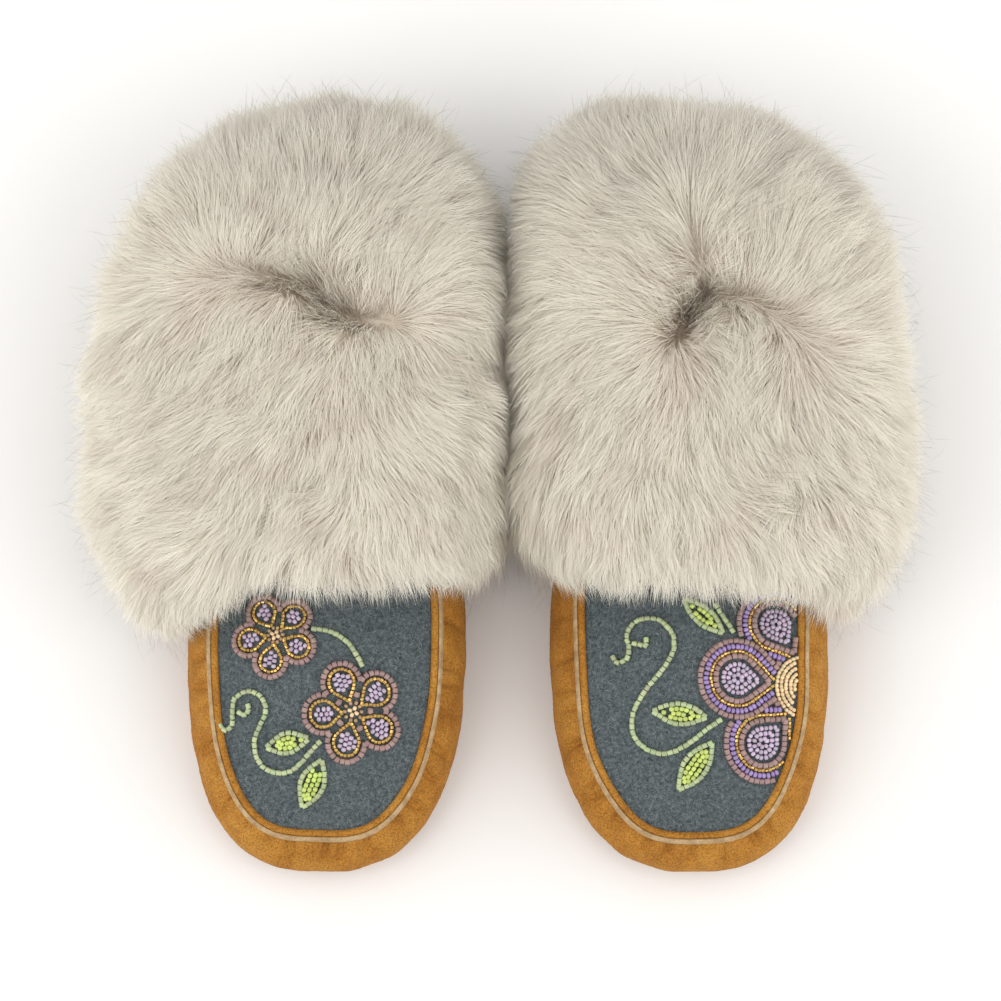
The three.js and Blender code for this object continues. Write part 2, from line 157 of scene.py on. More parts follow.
def roofHeight(u, y):
    # the seam's height plus the crown, times one less the square of the share still to go to the ridge
    centre = centreLine(y)
    reachRight = np.interp(y, seamY[rightSide], seamU[rightSide]) - centre
    reachLeft = centre - np.interp(y, *leftTable)
    step = 1 - np.where(u > centre, (u - centre) / reachRight, (centre - u) / reachLeft)
    for poleY, table, beyond in zip(poles, poleTables, (y < poles[0], y > poles[1])):
        away = np.hypot(u - centreLine(poleY), y - poleY)
        turn = np.arctan2(y - poleY, u - centreLine(poleY))
        step = np.where(beyond, 1 - away / np.interp(turn, *table), step)
    rise = shoe["crown"] * smooth(y / shoe["crownAt"])
    return seamHeight(y) + rise * (1 - (1 - np.clip(step, -0.25, 1)) ** 2)


def roofNormal(u, y):
    # the upward normal from the roof's slope over a short step each way
    e = 0.4
    slopeU = (roofHeight(u + e, y) - roofHeight(u - e, y)) / (2 * e)
    slopeY = (roofHeight(u, y + e) - roofHeight(u, y - e)) / (2 * e)
    return unit(np.stack([-slopeU, -slopeY, np.ones_like(slopeU)], -1))


def onRoof(plan, lift):
    # the roof's point over each place, moved out along its normal by lift
    plan = np.asarray(plan, float)
    u, y = plan[..., 0], plan[..., 1]
    return np.stack([u, y, roofHeight(u, y)], -1) + roofNormal(u, y) * np.asarray(lift)[..., None]


# meshes
def gridFaces(rows, cols, wrap=True):
    # the four corners of each cell; wrap joins the last column to the first
    r = np.arange(rows - 1)[:, None] * cols
    c = np.arange(cols if wrap else cols - 1)[None, :]
    d = (c + 1) % cols
    return np.stack(np.broadcast_arrays(r + c, r + d, r + cols + d, r + cols + c), -1).reshape(-1, 4)


def toRow(points, side):
    # out from the row's middle by half the spacing, back by the shift, and into metres
    p = np.asarray(points, float).reshape(-1, 3)
    x = side * (shoe["spacing"] / 2 + p[:, 0])
    return np.stack([x, p[:, 1] - shoe["backShift"], p[:, 2]], -1) / 1000


def makeObject(name, points, faceSets, colours=None):
    # one smooth mesh from points and sets of faces
    mesh = bpy.data.meshes.new(name)
    mesh.vertices.add(len(points))
    mesh.vertices.foreach_set("co", points.astype(np.float32).ravel())
    faceSets = [f for f in faceSets if len(f)]
    corners = np.concatenate([f.ravel() for f in faceSets])
    sizes = np.concatenate([np.full(len(f), f.shape[1]) for f in faceSets])
    mesh.loops.add(len(corners))
    mesh.loops.foreach_set("vertex_index", corners.astype(np.int32))
    mesh.polygons.add(len(sizes))
    mesh.polygons.foreach_set("loop_start", np.concatenate([[0], np.cumsum(sizes)[:-1]]).astype(np.int32))
    mesh.polygons.foreach_set("use_smooth", np.ones(len(sizes), bool))
    mesh.update(calc_edges=True)
    if colours is not None:
        full = np.concatenate([colours, np.ones((len(colours), 1))], 1)
        layer = mesh.color_attributes.new("pileColour", "FLOAT_COLOR", "POINT")
        layer.data.foreach_set("color", full.astype(np.float32).ravel())
    piece = bpy.data.objects.new(name, mesh)
    bpy.context.scene.collection.objects.link(piece)
    return piece


def addPiece(
    sideName, name, points, faceSets, material, replaced=(), colours=None, weld=False,
    facets=False
):
    # one piece on its slipper, mirrored for the right one, with its material and ride
    side = sides[sideName]
    if side < 0:
        faceSets = [f[:, ::-1] for f in faceSets]
    piece = makeObject(f"{sideName}{name}", toRow(points, side), faceSets, colours)
    if weld:
        weldMesh(piece)
    if facets:
        piece.data.polygons.foreach_set("use_smooth", np.zeros(len(piece.data.polygons), bool))
    piece.data.materials.append(material)
    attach(piece, f"{sideName}_slipper")
    if replaced:
        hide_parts(*[f"{sideName}_{n}" for n in replaced])
    return piece


def weldMesh(piece):
    # joins points that meet, drops empty faces and turns every face outwards
    b = bmesh.new()
    b.from_mesh(piece.data)
    bmesh.ops.remove_doubles(b, verts=b.verts, dist=1e-5)
    bmesh.ops.dissolve_degenerate(b, edges=b.edges, dist=1e-7)
    bmesh.ops.recalc_face_normals(b, faces=b.faces)
    b.to_mesh(piece.data)
    b.free()


def thicken(piece, thickness):
    # the sheet's own thickness in millimetres, inwards from its face
    solid = piece.modifiers.new("thickness", "SOLIDIFY")
    solid.thickness = thickness / 1000
    solid.offset = -1


# materials
def newMaterial(name, roughness, sheen=0.0):
    # a plain dull surface to add colour and grain to
    material = bpy.data.materials.new(name)
    material.use_nodes = True
    shader = material.node_tree.nodes["Principled BSDF"]
    shader.inputs["Roughness"].default_value = roughness
    shader.inputs["Specular IOR Level"].default_value = 0.25
    shader.inputs["Sheen Weight"].default_value = sheen
    return material, material.node_tree.nodes, material.node_tree.links, shader


def addNoise(nodes, links, scale, detail=4, roughness=0.6):
    # smooth noise fixed to the piece, scale to the metre
    place = nodes.new("ShaderNodeTexCoord")
    noise = nodes.new("ShaderNodeTexNoise")
    noise.inputs["Scale"].default_value = scale
    noise.inputs["Detail"].default_value = detail
    noise.inputs["Roughness"].default_value = roughness
    links.new(place.outputs["Object"], noise.inputs["Vector"])
    return noise.outputs["Fac"]


def addRamp(nodes, links, source, stops):
    # turns a value into the colours of its stops
    ramp = nodes.new("ShaderNodeValToRGB")
    ramp.color_ramp.elements[0].position, ramp.color_ramp.elements[1].position = stops[0][0], stops[-1][0]
    for at, colour in stops[1:-1]:
        ramp.color_ramp.elements.new(at)
    for element, (at, colour) in zip(ramp.color_ramp.elements, stops):
        element.position = at
        element.color = (*colour, 1)
    links.new(source, ramp.inputs["Fac"])
    return ramp.outputs["Color"]


def addBump(nodes, links, shader, source, strength, distance):
    # raises the surface by the source, in millimetres
    bump = nodes.new("ShaderNodeBump")
    bump.inputs["Strength"].default_value = strength
    bump.inputs["Distance"].default_value = distance / 1000
    links.new(source, bump.inputs["Height"])
    links.new(bump.outputs["Normal"], shader.inputs["Normal"])


def multiply(nodes, links, a, b):
    # one colour times the other
    mix = nodes.new("ShaderNodeMix")
    mix.data_type = "RGBA"
    mix.blend_type = "MULTIPLY"
    mix.inputs["Factor"].default_value = 1.0
    links.new(a, mix.inputs["A"])
    links.new(b, mix.inputs["B"])
    return mix.outputs["Result"]


def clothMaterial(name, dark, middle, light, blotch, grain, bump=0.25, height=0.3, grit=0.72):
    # wide blotches between three tones, times a fine grain that goes down to grit
    material, nodes, links, shader = newMaterial(name, 0.95)
    tones = [(0.34, dark), (0.5, middle), (0.68, light)]
    wide = addRamp(nodes, links, addNoise(nodes, links, blotch), tones)
    fine = addNoise(nodes, links, grain, 3, 0.7)
    speck = addRamp(nodes, links, fine, [(0.36, (grit, grit, grit)), (0.56, (1, 1, 1))])
    links.new(multiply(nodes, links, wide, speck), shader.inputs["Base Color"])
    addBump(nodes, links, shader, fine, bump, height)
    return material


def pileMaterial(name, roughness, sheen=0.0):
    # takes its colour from what each strand or bead carries
    material, nodes, links, shader = newMaterial(name, roughness, sheen)
    layer = nodes.new("ShaderNodeAttribute")
    layer.attribute_name = "pileColour"
    links.new(layer.outputs["Color"], shader.inputs["Base Color"])
    return material


def hairMaterial(name, roughness, sheen, through):
    # the pile's own colour, partly lit through from behind, as thin hair is
    material = pileMaterial(name, roughness, sheen)
    nodes, links = material.node_tree.nodes, material.node_tree.links
    lit = nodes.new("ShaderNodeBsdfTranslucent")
    links.new(nodes["Attribute"].outputs["Color"], lit.inputs["Color"])
    mix = nodes.new("ShaderNodeMixShader")
    mix.inputs["Fac"].default_value = through
    links.new(nodes["Principled BSDF"].outputs["BSDF"], mix.inputs[1])
    links.new(lit.outputs["BSDF"], mix.inputs[2])
    links.new(mix.outputs["Shader"], nodes["Material Output"].inputs["Surface"])
    return material


def beadMaterial(name, roughness=0.28, metallic=0.0, coat=0.3):
    # glass or metal in each bead's own colour
    material = pileMaterial(name, roughness)
    shader = material.node_tree.nodes["Principled BSDF"]
    shader.inputs["Metallic"].default_value = metallic
    shader.inputs["Coat Weight"].default_value = coat
    shader.inputs["Specular IOR Level"].default_value = 0.5
    return material


suede = clothMaterial(
    "suede", (0.41, 0.166, 0.024), (0.495, 0.217, 0.033), (0.565, 0.27, 0.048), 70, 1450,
    bump=0.6, height=0.4, grit=0.48)
soleSuede = clothMaterial("soleSuede", (0.20, 0.11, 0.05), (0.26, 0.15, 0.07), (0.32, 0.2, 0.1), 50, 1500)
rawEdge = clothMaterial("rawEdge", (0.38, 0.25, 0.13), (0.49, 0.34, 0.18), (0.60, 0.44, 0.26), 300, 2200)
felt = clothMaterial(
    "felt", (0.060, 0.080, 0.090), (0.105, 0.130, 0.140), (0.175, 0.202, 0.208), 820, 2500,
    bump=0.5, grit=0.45)
backing = clothMaterial("backing", (0.45, 0.4, 0.33), (0.52, 0.47, 0.4), (0.6, 0.55, 0.48), 200, 1800)
fleece = clothMaterial(
    "fleece", (0.6, 0.54, 0.44), (0.7, 0.64, 0.54), (0.78, 0.73, 0.64), 160, 900, bump=0.8, height=1.2)
foam = clothMaterial("foam", (0.58, 0.52, 0.42), (0.64, 0.58, 0.48), (0.7, 0.64, 0.55), 120, 1200)
pelt = clothMaterial("pelt", (0.58, 0.49, 0.39), (0.66, 0.57, 0.47), (0.72, 0.64, 0.54), 90, 700)
furPile = hairMaterial("furPile", 0.7, 0.15, 0.26)
fuzz = pileMaterial("fuzz", 0.9)
glassBead = beadMaterial("glassBead")
silkBead = beadMaterial("silkBead", 0.4, 0.0, 0.2)
goldBead = beadMaterial("goldBead", 0.24, 0.9, 0.2)
print("materials made")


# the soles and pads: slabs that follow the outline, with a rounded edge
slabs = {
    "Outsole": {"depth": 3.0, "low": 0.0, "thick": 4.0, "round": 1.3, "bump": 0.0},
    "InsoleFoam": {"depth": 4.4, "low": 6.9, "thick": 4.0, "round": 1.0, "bump": 0.0},
    "Footbed": {"depth": 6.6, "low": 11.25, "thick": 5.0, "round": 2.2, "bump": 0.5},
}


def slabPoints(plan):
    # rings drawn in from the outline: in to the ridge on both faces, and a quarter circle at each edge
    bend = plan["round"]
    turn = np.linspace(0, np.pi / 2, 5)
    drawn = np.concatenate([bend * (1 - np.sin(turn)), bend * (1 - np.cos(turn))])
    height = np.concatenate([bend * (1 - np.cos(turn)), plan["thick"] - bend * (1 - np.sin(turn))])
    rows = []
    for share in np.linspace(0, 1, 6)[:-1]:
        u, y = inset(plan["depth"] + bend)
        rows.append((ridgeU + (u - ridgeU) * share, ridgeY + (y - ridgeY) * share, 0))
    for d, h in zip(drawn, height):
        u, y = inset(plan["depth"] + d)
        rows.append((u, y, h))
    for share in np.linspace(1, 0, 14)[1:]:
        u, y = inset(plan["depth"] + bend)
        rows.append((ridgeU + (u - ridgeU) * share, ridgeY + (y - ridgeY) * share, plan["thick"]))
    grid = np.stack([np.stack([u, y, np.full_like(u, plan["low"] + h)], -1) for u, y, h in rows])
    grid[..., 2] += plan["bump"] * makeWobble(5, 9)(grid) * (grid[..., 2] > plan["low"] + plan["thick"] / 2)
    return grid[:, ::2]


def makeSlabs(sideName):
    # one closed piece for each slab, with its material; the two soft ones are foam and fleece
    looks = {"Outsole": (soleSuede, "sole_leather", "outsole"), "InsoleFoam": (foam, "foam", "insole_foam")}
    looks["Footbed"] = (fleece, "fleece", "fleece_footbed")
    for name, plan in slabs.items():
        grid = slabPoints(plan)
        material, slotName, node = looks[name]
        faces = [gridFaces(*grid.shape[:2])]
        addPiece(sideName, name, grid, faces, material, [node], weld=True)


# the shell of the shoe
body = {
    "thick": 2.2, "puckers": 21, "puckerDeep": 2.9, "puckerWide": 1.1, "puckerLong": 7.5, "nap": 0.12,
    "toeArc": 112.0, "wallHigh": 26, "hollowLong": 14, "toeFade": 125,
}


def openingShare():
    # the share of the way from seam to ridge at which the foot opening begins, or 1 where it isn't met
    share = np.linspace(0, 1, 120)[:, None]
    u = seamU + (ridgeU - seamU) * share
    y = seamY + (ridgeY - seamY) * share
    inside = (u / (shoe["openWide"] / 2)) ** 2 + ((y - shoe["openAt"]) / (shoe["openLong"] / 2)) ** 2 < 1
    return np.where(inside.any(0), share[inside.argmax(0), 0], 1.0)


openShare = openingShare()
toeAlong = np.where(rim["along"] > rim["along"][-1] / 2, rim["along"] - rim["along"][-1] - 1, rim["along"])


def wallRow(share, depth):
    # the outline drawn in by the wall's inset, at its share of the height up to the seam
    u, y = inset(wallInset(share) + depth)
    low = shoe["bottom"] + depth
    return np.stack([u, y, low + share * (seamHeight(y) - depth - low)], -1)


def roofRow(share, depth):
    # the share of the way from seam to ridge, raised by the crown's own square law
    u = seamU + (ridgeU - seamU) * share
    y = seamY + (ridgeY - seamY) * share
    rise = shoe["crown"] * smooth(y / shoe["crownAt"]) * (1 - (1 - share) ** 2)
    return np.stack([u, y, seamHeight(y) + rise - depth], -1)


def shellRows(depth, lipShare, walls=30, roofs=8, floor=True):
    # the floor from the ridge outwards, the wall up to the seam, then the roof in to the lip
    rows = []
    if floor:
        base = wallRow(0.0, depth)
        for t in np.linspace(0, 1, 5)[:-1]:
            rows.append(np.stack([
                ridgeU + (base[:, 0] - ridgeU) * t, ridgeY + (base[:, 1] - ridgeY) * t, base[:, 2]], -1))
    rows += [wallRow(s, depth) for s in np.linspace(0, 1, walls)]
    rows += [roofRow(lipShare * t, depth) for t in np.linspace(0, 1, roofs + 1)[1:]]
    return np.array(rows)


def pucker(sideName, grid, rowShare):
    # gathers: narrow grooves across the top of the wall, at uneven places round the toe, fading downwards
    dice = np.random.default_rng(11 if sideName == "left" else 12)
    places = np.linspace(-body["toeArc"], body["toeArc"], body["puckers"])
    places = places + dice.uniform(-3.2, 3.2, len(places))
    deep = body["puckerDeep"] * dice.uniform(0.35, 1.25, len(places))
    wide = body["puckerWide"] * dice.uniform(0.7, 1.4, len(places))
    slant = dice.uniform(-2.5, 2.5, len(places))
    fall = rowShare[:, None, None] * body["wallHigh"]
    near = toeAlong[None, :, None] - places - slant * fall / 10
    groove = (deep * np.exp(-((near / wide) ** 2)) * np.exp(-((fall / body["puckerLong"]) ** 2))).sum(-1)
    soft = np.exp(-((near / (3 * wide)) ** 2)) * np.exp(-((fall / body["hollowLong"]) ** 2))
    hollow = (0.5 * deep * soft).sum(-1)
    toe = np.exp(-((toeAlong / body["toeFade"]) ** 6))[None, :]
    out = np.stack([rim["nu"], rim["ny"], np.zeros(stationCount)], -1)
    grid -= ((groove + hollow) * toe)[..., None] * (out * 0.8 + [0, 0, 0.75])
    grid += (makeWobble(31, 18)(grid) * 0.22 * toe)[..., None] * out
    return grid


def makeShell(sideName):
    # the hide's two faces as one closed skin, its nap, and the fleece inside it
    lip = between(rim["y"], 140, 0.05, 172, 1) * openShare
    outer = shellRows(0, lip)
    rowShare = np.concatenate([np.ones(4), 1 - np.linspace(0, 1, 30), np.zeros(8)])
    outer = pucker(sideName, outer, rowShare)
    outward = np.stack([rim["nu"], rim["ny"], 0.6 * np.ones(stationCount)], -1)
    outer[4:] += outward * (makeWobble(33, 2.2, 11)(outer[4:]) * body["nap"])[..., None]
    inner = shellRows(body["thick"], lip, walls=12)[::-1]
    grid = np.concatenate([outer, inner])
    faces = [gridFaces(len(grid), stationCount)]
    addPiece(sideName, "HideBody", grid, faces, suede, ["hide_body"], weld=True)
    shown = np.ones(outer.shape[:2]) * (rim["y"] < 130)
    shown[:6] = 0
    growFuzz(sideName, "SuedeNap", outer, True, 401 + sides[sideName], shown)
    outDepth, inDepth = body["thick"] + 0.35, body["thick"] + 3.35
    skin = shellRows(outDepth, openShare, floor=False)
    pileSide = shellRows(inDepth, openShare, floor=False)
    pileSide += unit(np.stack([-rim["nu"], -rim["ny"], np.zeros(stationCount)], -1)) * (
        makeWobble(41, 5)(pileSide) * 0.6)[..., None]
    grid = np.concatenate([pileSide[:1], skin, pileSide[::-1]])[:, ::2]
    faces = [gridFaces(*grid.shape[:2])]
    addPiece(sideName, "FleeceLining", grid, faces, fleece, ["fleece_lining"], weld=True)


# felt vamp, its backing and the welt
vamp = {"edge": 10.4, "backTo": 168.0, "feltThick": 1.2, "backingThick": 0.8, "rows": 22}
frontStations = np.concatenate([
    np.flatnonzero((np.arange(stationCount) > shoe["stations"]) & (rim["y"] < vamp["backTo"])),
    np.flatnonzero((np.arange(stationCount) <= shoe["stations"]) & (rim["y"] < vamp["backTo"])),
])


def vampGrid(depth):
    # straight rows from the welt in to the ridge, or to the foot opening, lifted onto the roof
    u, y = inset(vamp["edge"])
    stop = np.clip(openShare, 0, 1)
    endU = seamU + (ridgeU - seamU) * stop
    endY = seamY + (ridgeY - seamY) * stop
    share = np.linspace(0, 1, vamp["rows"])[:, None]
    plan = np.stack([u + (endU - u) * share, y + (endY - y) * share], -1)[:, frontStations[::2]]
    grid = np.concatenate([plan, roofHeight(plan[..., 0], plan[..., 1])[..., None]], -1)
    return grid - [0, 0, depth]


def makeVamp(sideName):
    # felt and backing: sheets on one plan at two depths, with loose fibres on the felt
    for name, depth, thick, material, slotName, node in (
        ("VampFelt", 0.0, vamp["feltThick"], felt, "felt", "vamp_felt"),
        ("VampBacking", 1.5, vamp["backingThick"], backing, "backing", "vamp_backing"),
    ):
        grid = vampGrid(depth)
        if name == "VampFelt":
            grid[..., 2] += 0.25 * makeWobble(51 + sides[sideName], 18)(grid)
            growFuzz(sideName, "FeltFuzz", grid[::-1], False, 411 + sides[sideName])
        faces = [gridFaces(*grid.shape[:2], wrap=False)]
        piece = addPiece(sideName, name, grid, faces, material, [node], weld=True)
        upright = np.zeros(len(piece.data.polygons) * 3)
        piece.data.polygons.foreach_get("normal", upright)
        if upright[2::3].mean() < 0:
            piece.data.flip_normals()
        thicken(piece, thick)


welt = {
    # closed outlines: how far in from the sole's edge, and how high above the roof
    "fold": [(9.3, -1.0), (9.3, 1.5), (9.6, 2.0), (10.1, 2.15), (10.8, 1.9), (11.4, 1.4), (11.8, 0.8),
             (11.95, 0.1), (11.8, -0.9)],
    "edge": [(7.9, -1.4), (7.75, 0.7), (7.95, 1.75), (8.35, 2.3), (8.85, 2.4), (9.2, 2.1), (9.32, 1.2),
             (9.3, -1.2)],
    "sway": {"right": 0.3, "left": 0.75},
}


def sweepRim(profile, sway, seed):
    # the outline carried round the toe; the whole of it sways in and out a little along the way
    stations = frontStations
    drift = sway * makeWobble(seed, 42)(np.stack([rim["u"], rim["y"], rim["y"] * 0], -1))
    rows = []
    for d, h in profile:
        u, y = inset(d + drift)
        grain = 0.12 * makeWobble(seed + 1, 1.9)(np.stack([u, y, u * 0 + h], -1))
        rows.append(np.stack([u, y, roofHeight(u, y) + h + grain], -1)[stations])
    return np.array(rows)


def makeWelt(sideName):
    # the fold and its raw edge, carried round the toe and closed at both ends
    for name, key, material, replaced in (
        ("VampWelt", "fold", suede, ["vamp_welt"]), ("WeltRawEdge", "edge", rawEdge, []),
    ):
        grid = sweepRim(welt[key], welt["sway"][sideName], 61 + sides[sideName]).transpose(1, 0, 2)
        count = grid.shape[1]
        ends = [np.arange(count)[None, ::-1], (np.arange(count) + (len(grid) - 1) * count)[None]]
        faces = [gridFaces(len(grid), count), *ends]
        addPiece(sideName, name, grid, faces, material, replaced, weld=True)


# beads
beadShapes = {
    # along the hole as a share of the length, and the radius as a share of the bead's
    "tube": [(-0.5, 0.5), (-0.485, 0.93), (-0.4, 1.0), (0.4, 1.0), (0.485, 0.93), (0.5, 0.5)],
    "seed": [(-0.5, 0.45), (-0.42, 0.8), (-0.2, 1.0), (0.2, 1.0), (0.42, 0.8), (0.5, 0.45)],
}
beadRound = 8
leafGap, leafInset = 1.98, 1.8
beadSizes = {
    "mauve": {"shape": "tube", "wide": 2.05, "long": 1.75},
    "lavender": {"shape": "seed", "wide": 2.1, "long": 1.45},
    "gold": {"shape": "tube", "wide": 1.42, "long": 1.15},
    "lilac": {"shape": "seed", "wide": 1.75, "long": 1.45},
    "cream": {"shape": "seed", "wide": 1.7, "long": 1.3},
    "tan": {"shape": "seed", "wide": 1.45, "long": 1.2},
    "sage": {"shape": "tube", "wide": 1.85, "long": 1.95},
    "lime": {"shape": "seed", "wide": 1.9, "long": 1.6},
}
beadColours = {
    "mauve": (0.335, 0.215, 0.20), "lavender": (0.33, 0.235, 0.50), "gold": (0.62, 0.40, 0.12),
    "lilac": (0.52, 0.425, 0.55), "cream": (0.82, 0.63, 0.37), "tan": (0.42, 0.28, 0.15),
    "sage": (0.42, 0.49, 0.27), "lime": (0.55, 0.655, 0.17),
}
beadFinish = {"gold": goldBead, "lavender": glassBead, "lime": glassBead, "sage": glassBead}


def alongPath(path, gap, closed=False, start=0.5):
    # evenly spaced places along a path, with the direction there
    path = np.asarray(path, float)
    if closed:
        path = np.concatenate([path, path[:1]])
    far = np.concatenate([[0], np.cumsum(np.linalg.norm(np.diff(path, axis=0), axis=1))])
    count = max(1, int(round(far[-1] / gap)))
    at = (np.arange(count) + start) * far[-1] / count
    place = np.stack([np.interp(at, far, path[:, i]) for i in range(2)], -1)
    ahead = np.stack([np.interp(np.minimum(at + 0.4, far[-1]), far, path[:, i]) for i in range(2)], -1)
    behind = np.stack([np.interp(np.maximum(at - 0.4, 0), far, path[:, i]) for i in range(2)], -1)
    return place, unit(ahead - behind)


def softCurve(points, steps=12):
    # a Catmull-Rom curve through the points
    p = np.asarray(points, float)
    p = np.concatenate([[2 * p[0] - p[1]], p, [2 * p[-1] - p[-2]]])
    t = np.linspace(0, 1, steps, endpoint=False)[:, None]
    parts = []
    for a, b, c, d in zip(p[:-3], p[1:-2], p[2:-1], p[3:]):
        bend, twist = 2 * a - 5 * b + 4 * c - d, 3 * b - a - 3 * c + d
        parts.append(0.5 * (2 * b + (c - a) * t + bend * t**2 + twist * t**3))
    return np.concatenate([*parts, p[-2:-1]])


def dropPath(centre, radius, tip, steps=60):
    # a teardrop: the far side of a circle, and the two tangents from it to the tip
    centre, tip = np.asarray(centre, float), np.asarray(tip, float)
    away = np.linalg.norm(tip - centre)
    facing = np.arctan2(*(tip - centre)[::-1])
    half = np.arccos(min(0.98, radius / away))
    turn = facing + half + np.linspace(0, 2 * np.pi - 2 * half, steps)
    arc = centre + radius * np.stack([np.cos(turn), np.sin(turn)], -1)
    return np.concatenate([[tip], arc, [tip]]) if away > radius * 1.02 else arc


def leafPath(start, end, wide, steps=20):
    # two arcs from tip to tip, each half the width times the sine of the way along
    start, end = np.asarray(start, float), np.asarray(end, float)
    t = np.linspace(0, 1, steps)[:, None]
    across = unit(np.array([-(end - start)[1], (end - start)[0]]))
    up = start + (end - start) * t + across * wide / 2 * np.sin(np.pi * t)
    down = start + (end - start) * t - across * wide / 2 * np.sin(np.pi * t)
    return up, down


def insideLoop(points, loop):
    # a place is inside where a line from it crosses the loop an odd number of times
    x, y = points[:, 0][:, None], points[:, 1][:, None]
    x0, y0 = loop[:, 0], loop[:, 1]
    x1, y1 = np.roll(x0, -1), np.roll(y0, -1)
    crosses = (y0 > y) != (y1 > y)
    cut = (x1 - x0) * (y - y0) / np.where(y1 == y0, 1e-9, y1 - y0) + x0
    return ((x < cut) & crosses).sum(1) % 2 == 1


def loopDistance(points, loop):
    # the distance to the nearest of the loop's straight edges
    a, b = loop, np.roll(loop, -1, axis=0)
    d = b - a
    t = ((points[:, None] - a) * d).sum(-1) / np.maximum((d * d).sum(-1), 1e-9)
    near = a + d * np.clip(t, 0, 1)[..., None]
    return np.linalg.norm(points[:, None] - near, axis=-1).min(1)


def fillLoop(loop, gap, edge, lean=0.0):
    # places on a leaning triangular lattice, wherever they are far enough inside the loop
    low, high = loop.min(0) - 2, loop.max(0) + 2
    rows = np.arange(-40, 41)
    i, j = np.meshgrid(rows, rows)
    lattice = np.stack([(i + 0.5 * (j % 2)) * gap, j * gap * 0.87], -1).reshape(-1, 2)
    turn = np.array([[np.cos(lean), np.sin(lean)], [-np.sin(lean), np.cos(lean)]])
    lattice = lattice @ turn + (low + high) / 2
    keep = insideLoop(lattice, loop) & (loopDistance(lattice, loop) > edge)
    place = lattice[keep]
    return place, np.tile([np.cos(lean), np.sin(lean)], (len(place), 1))


class BeadBox:
    # collects beads of one colour on one slipper, and then makes them one piece
    def __init__(self):
        self.kinds = {}

    def sew(self, kind, laid):
        # keeps the places and headings of one kind
        place, heading = laid
        if len(place):
            self.kinds.setdefault(kind, []).append((place, heading))

    def finish(self, sideName, name, replaced, seed):
        # each bead's profile spun about the thread's direction, and seated on the felt
        dice = np.random.default_rng(seed)
        left = list(replaced)
        for kind, laid in self.kinds.items():
            size = beadSizes[kind]
            place = np.concatenate([p for p, _ in laid])
            heading = np.concatenate([h for _, h in laid])
            count = len(place)
            wide = size["wide"] * dice.uniform(0.94, 1.05, count)
            long = size["long"] * dice.uniform(0.9, 1.04, count)
            centre = onRoof(place + dice.normal(0, 0.06, place.shape), wide / 2 * 0.86 + 0.1)
            up = roofNormal(place[:, 0], place[:, 1])
            skew = dice.normal(0, 0.07, count)
            flat = np.stack([
                heading[:, 0] * np.cos(skew) - heading[:, 1] * np.sin(skew),
                heading[:, 0] * np.sin(skew) + heading[:, 1] * np.cos(skew), np.zeros(count)], -1)
            forward = unit(flat - up * (flat * up).sum(-1, keepdims=True))
            across = np.cross(up, forward)
            profile = np.array(beadShapes[size["shape"]])
            turn = 2 * np.pi * (np.arange(beadRound) + 0.5) / beadRound
            spun = turn[:, None, None] + dice.uniform(0, np.pi / 4, (count, 1))
            ring = np.cos(spun) * across + np.sin(spun) * up
            shape = (
                centre + (profile[:, 0][:, None] * long)[:, None, :, None] * forward
                + (profile[:, 1][:, None] * wide / 2)[:, None, :, None] * ring
            ).transpose(2, 0, 1, 3)
            rings = len(profile)
            shift = (np.arange(count) * rings * beadRound)[:, None, None]
            faces = (gridFaces(rings, beadRound)[None] + shift).reshape(-1, 4)[:, ::-1]
            caps = np.stack([np.arange(beadRound)[::-1], np.arange(beadRound) + (rings - 1) * beadRound])
            caps = (caps[None] + shift).reshape(-1, beadRound)[:, ::-1]
            tone = beadColours[kind] * dice.uniform(0.82, 1.16, (count, 1))
            tone = tone * dice.uniform(0.96, 1.04, (count, 3))
            colours = np.repeat(np.clip(tone, 0, 1), rings * beadRound, axis=0)
            look = beadFinish.get(kind, silkBead)
            addPiece(
                sideName, f"{name}{kind.capitalize()}", shape, [faces, caps], look, left,
                colours, facets=kind == "gold")
            left = []


flowers = {
    "FlowerLow": {"centre": (-10.1, 51.3), "turn": -4.4, "scale": 1.0,
                  "nodes": ("flower_low_petals", "flower_low_centre")},
    "FlowerHigh": {"centre": (16.6, 77.2), "turn": -80, "scale": 0.86,
                   "nodes": ("flower_high_petals", "flower_high_centre")},
}
petalAway, mauveRadius, goldRadius = 10.4, 6.35, 4.35


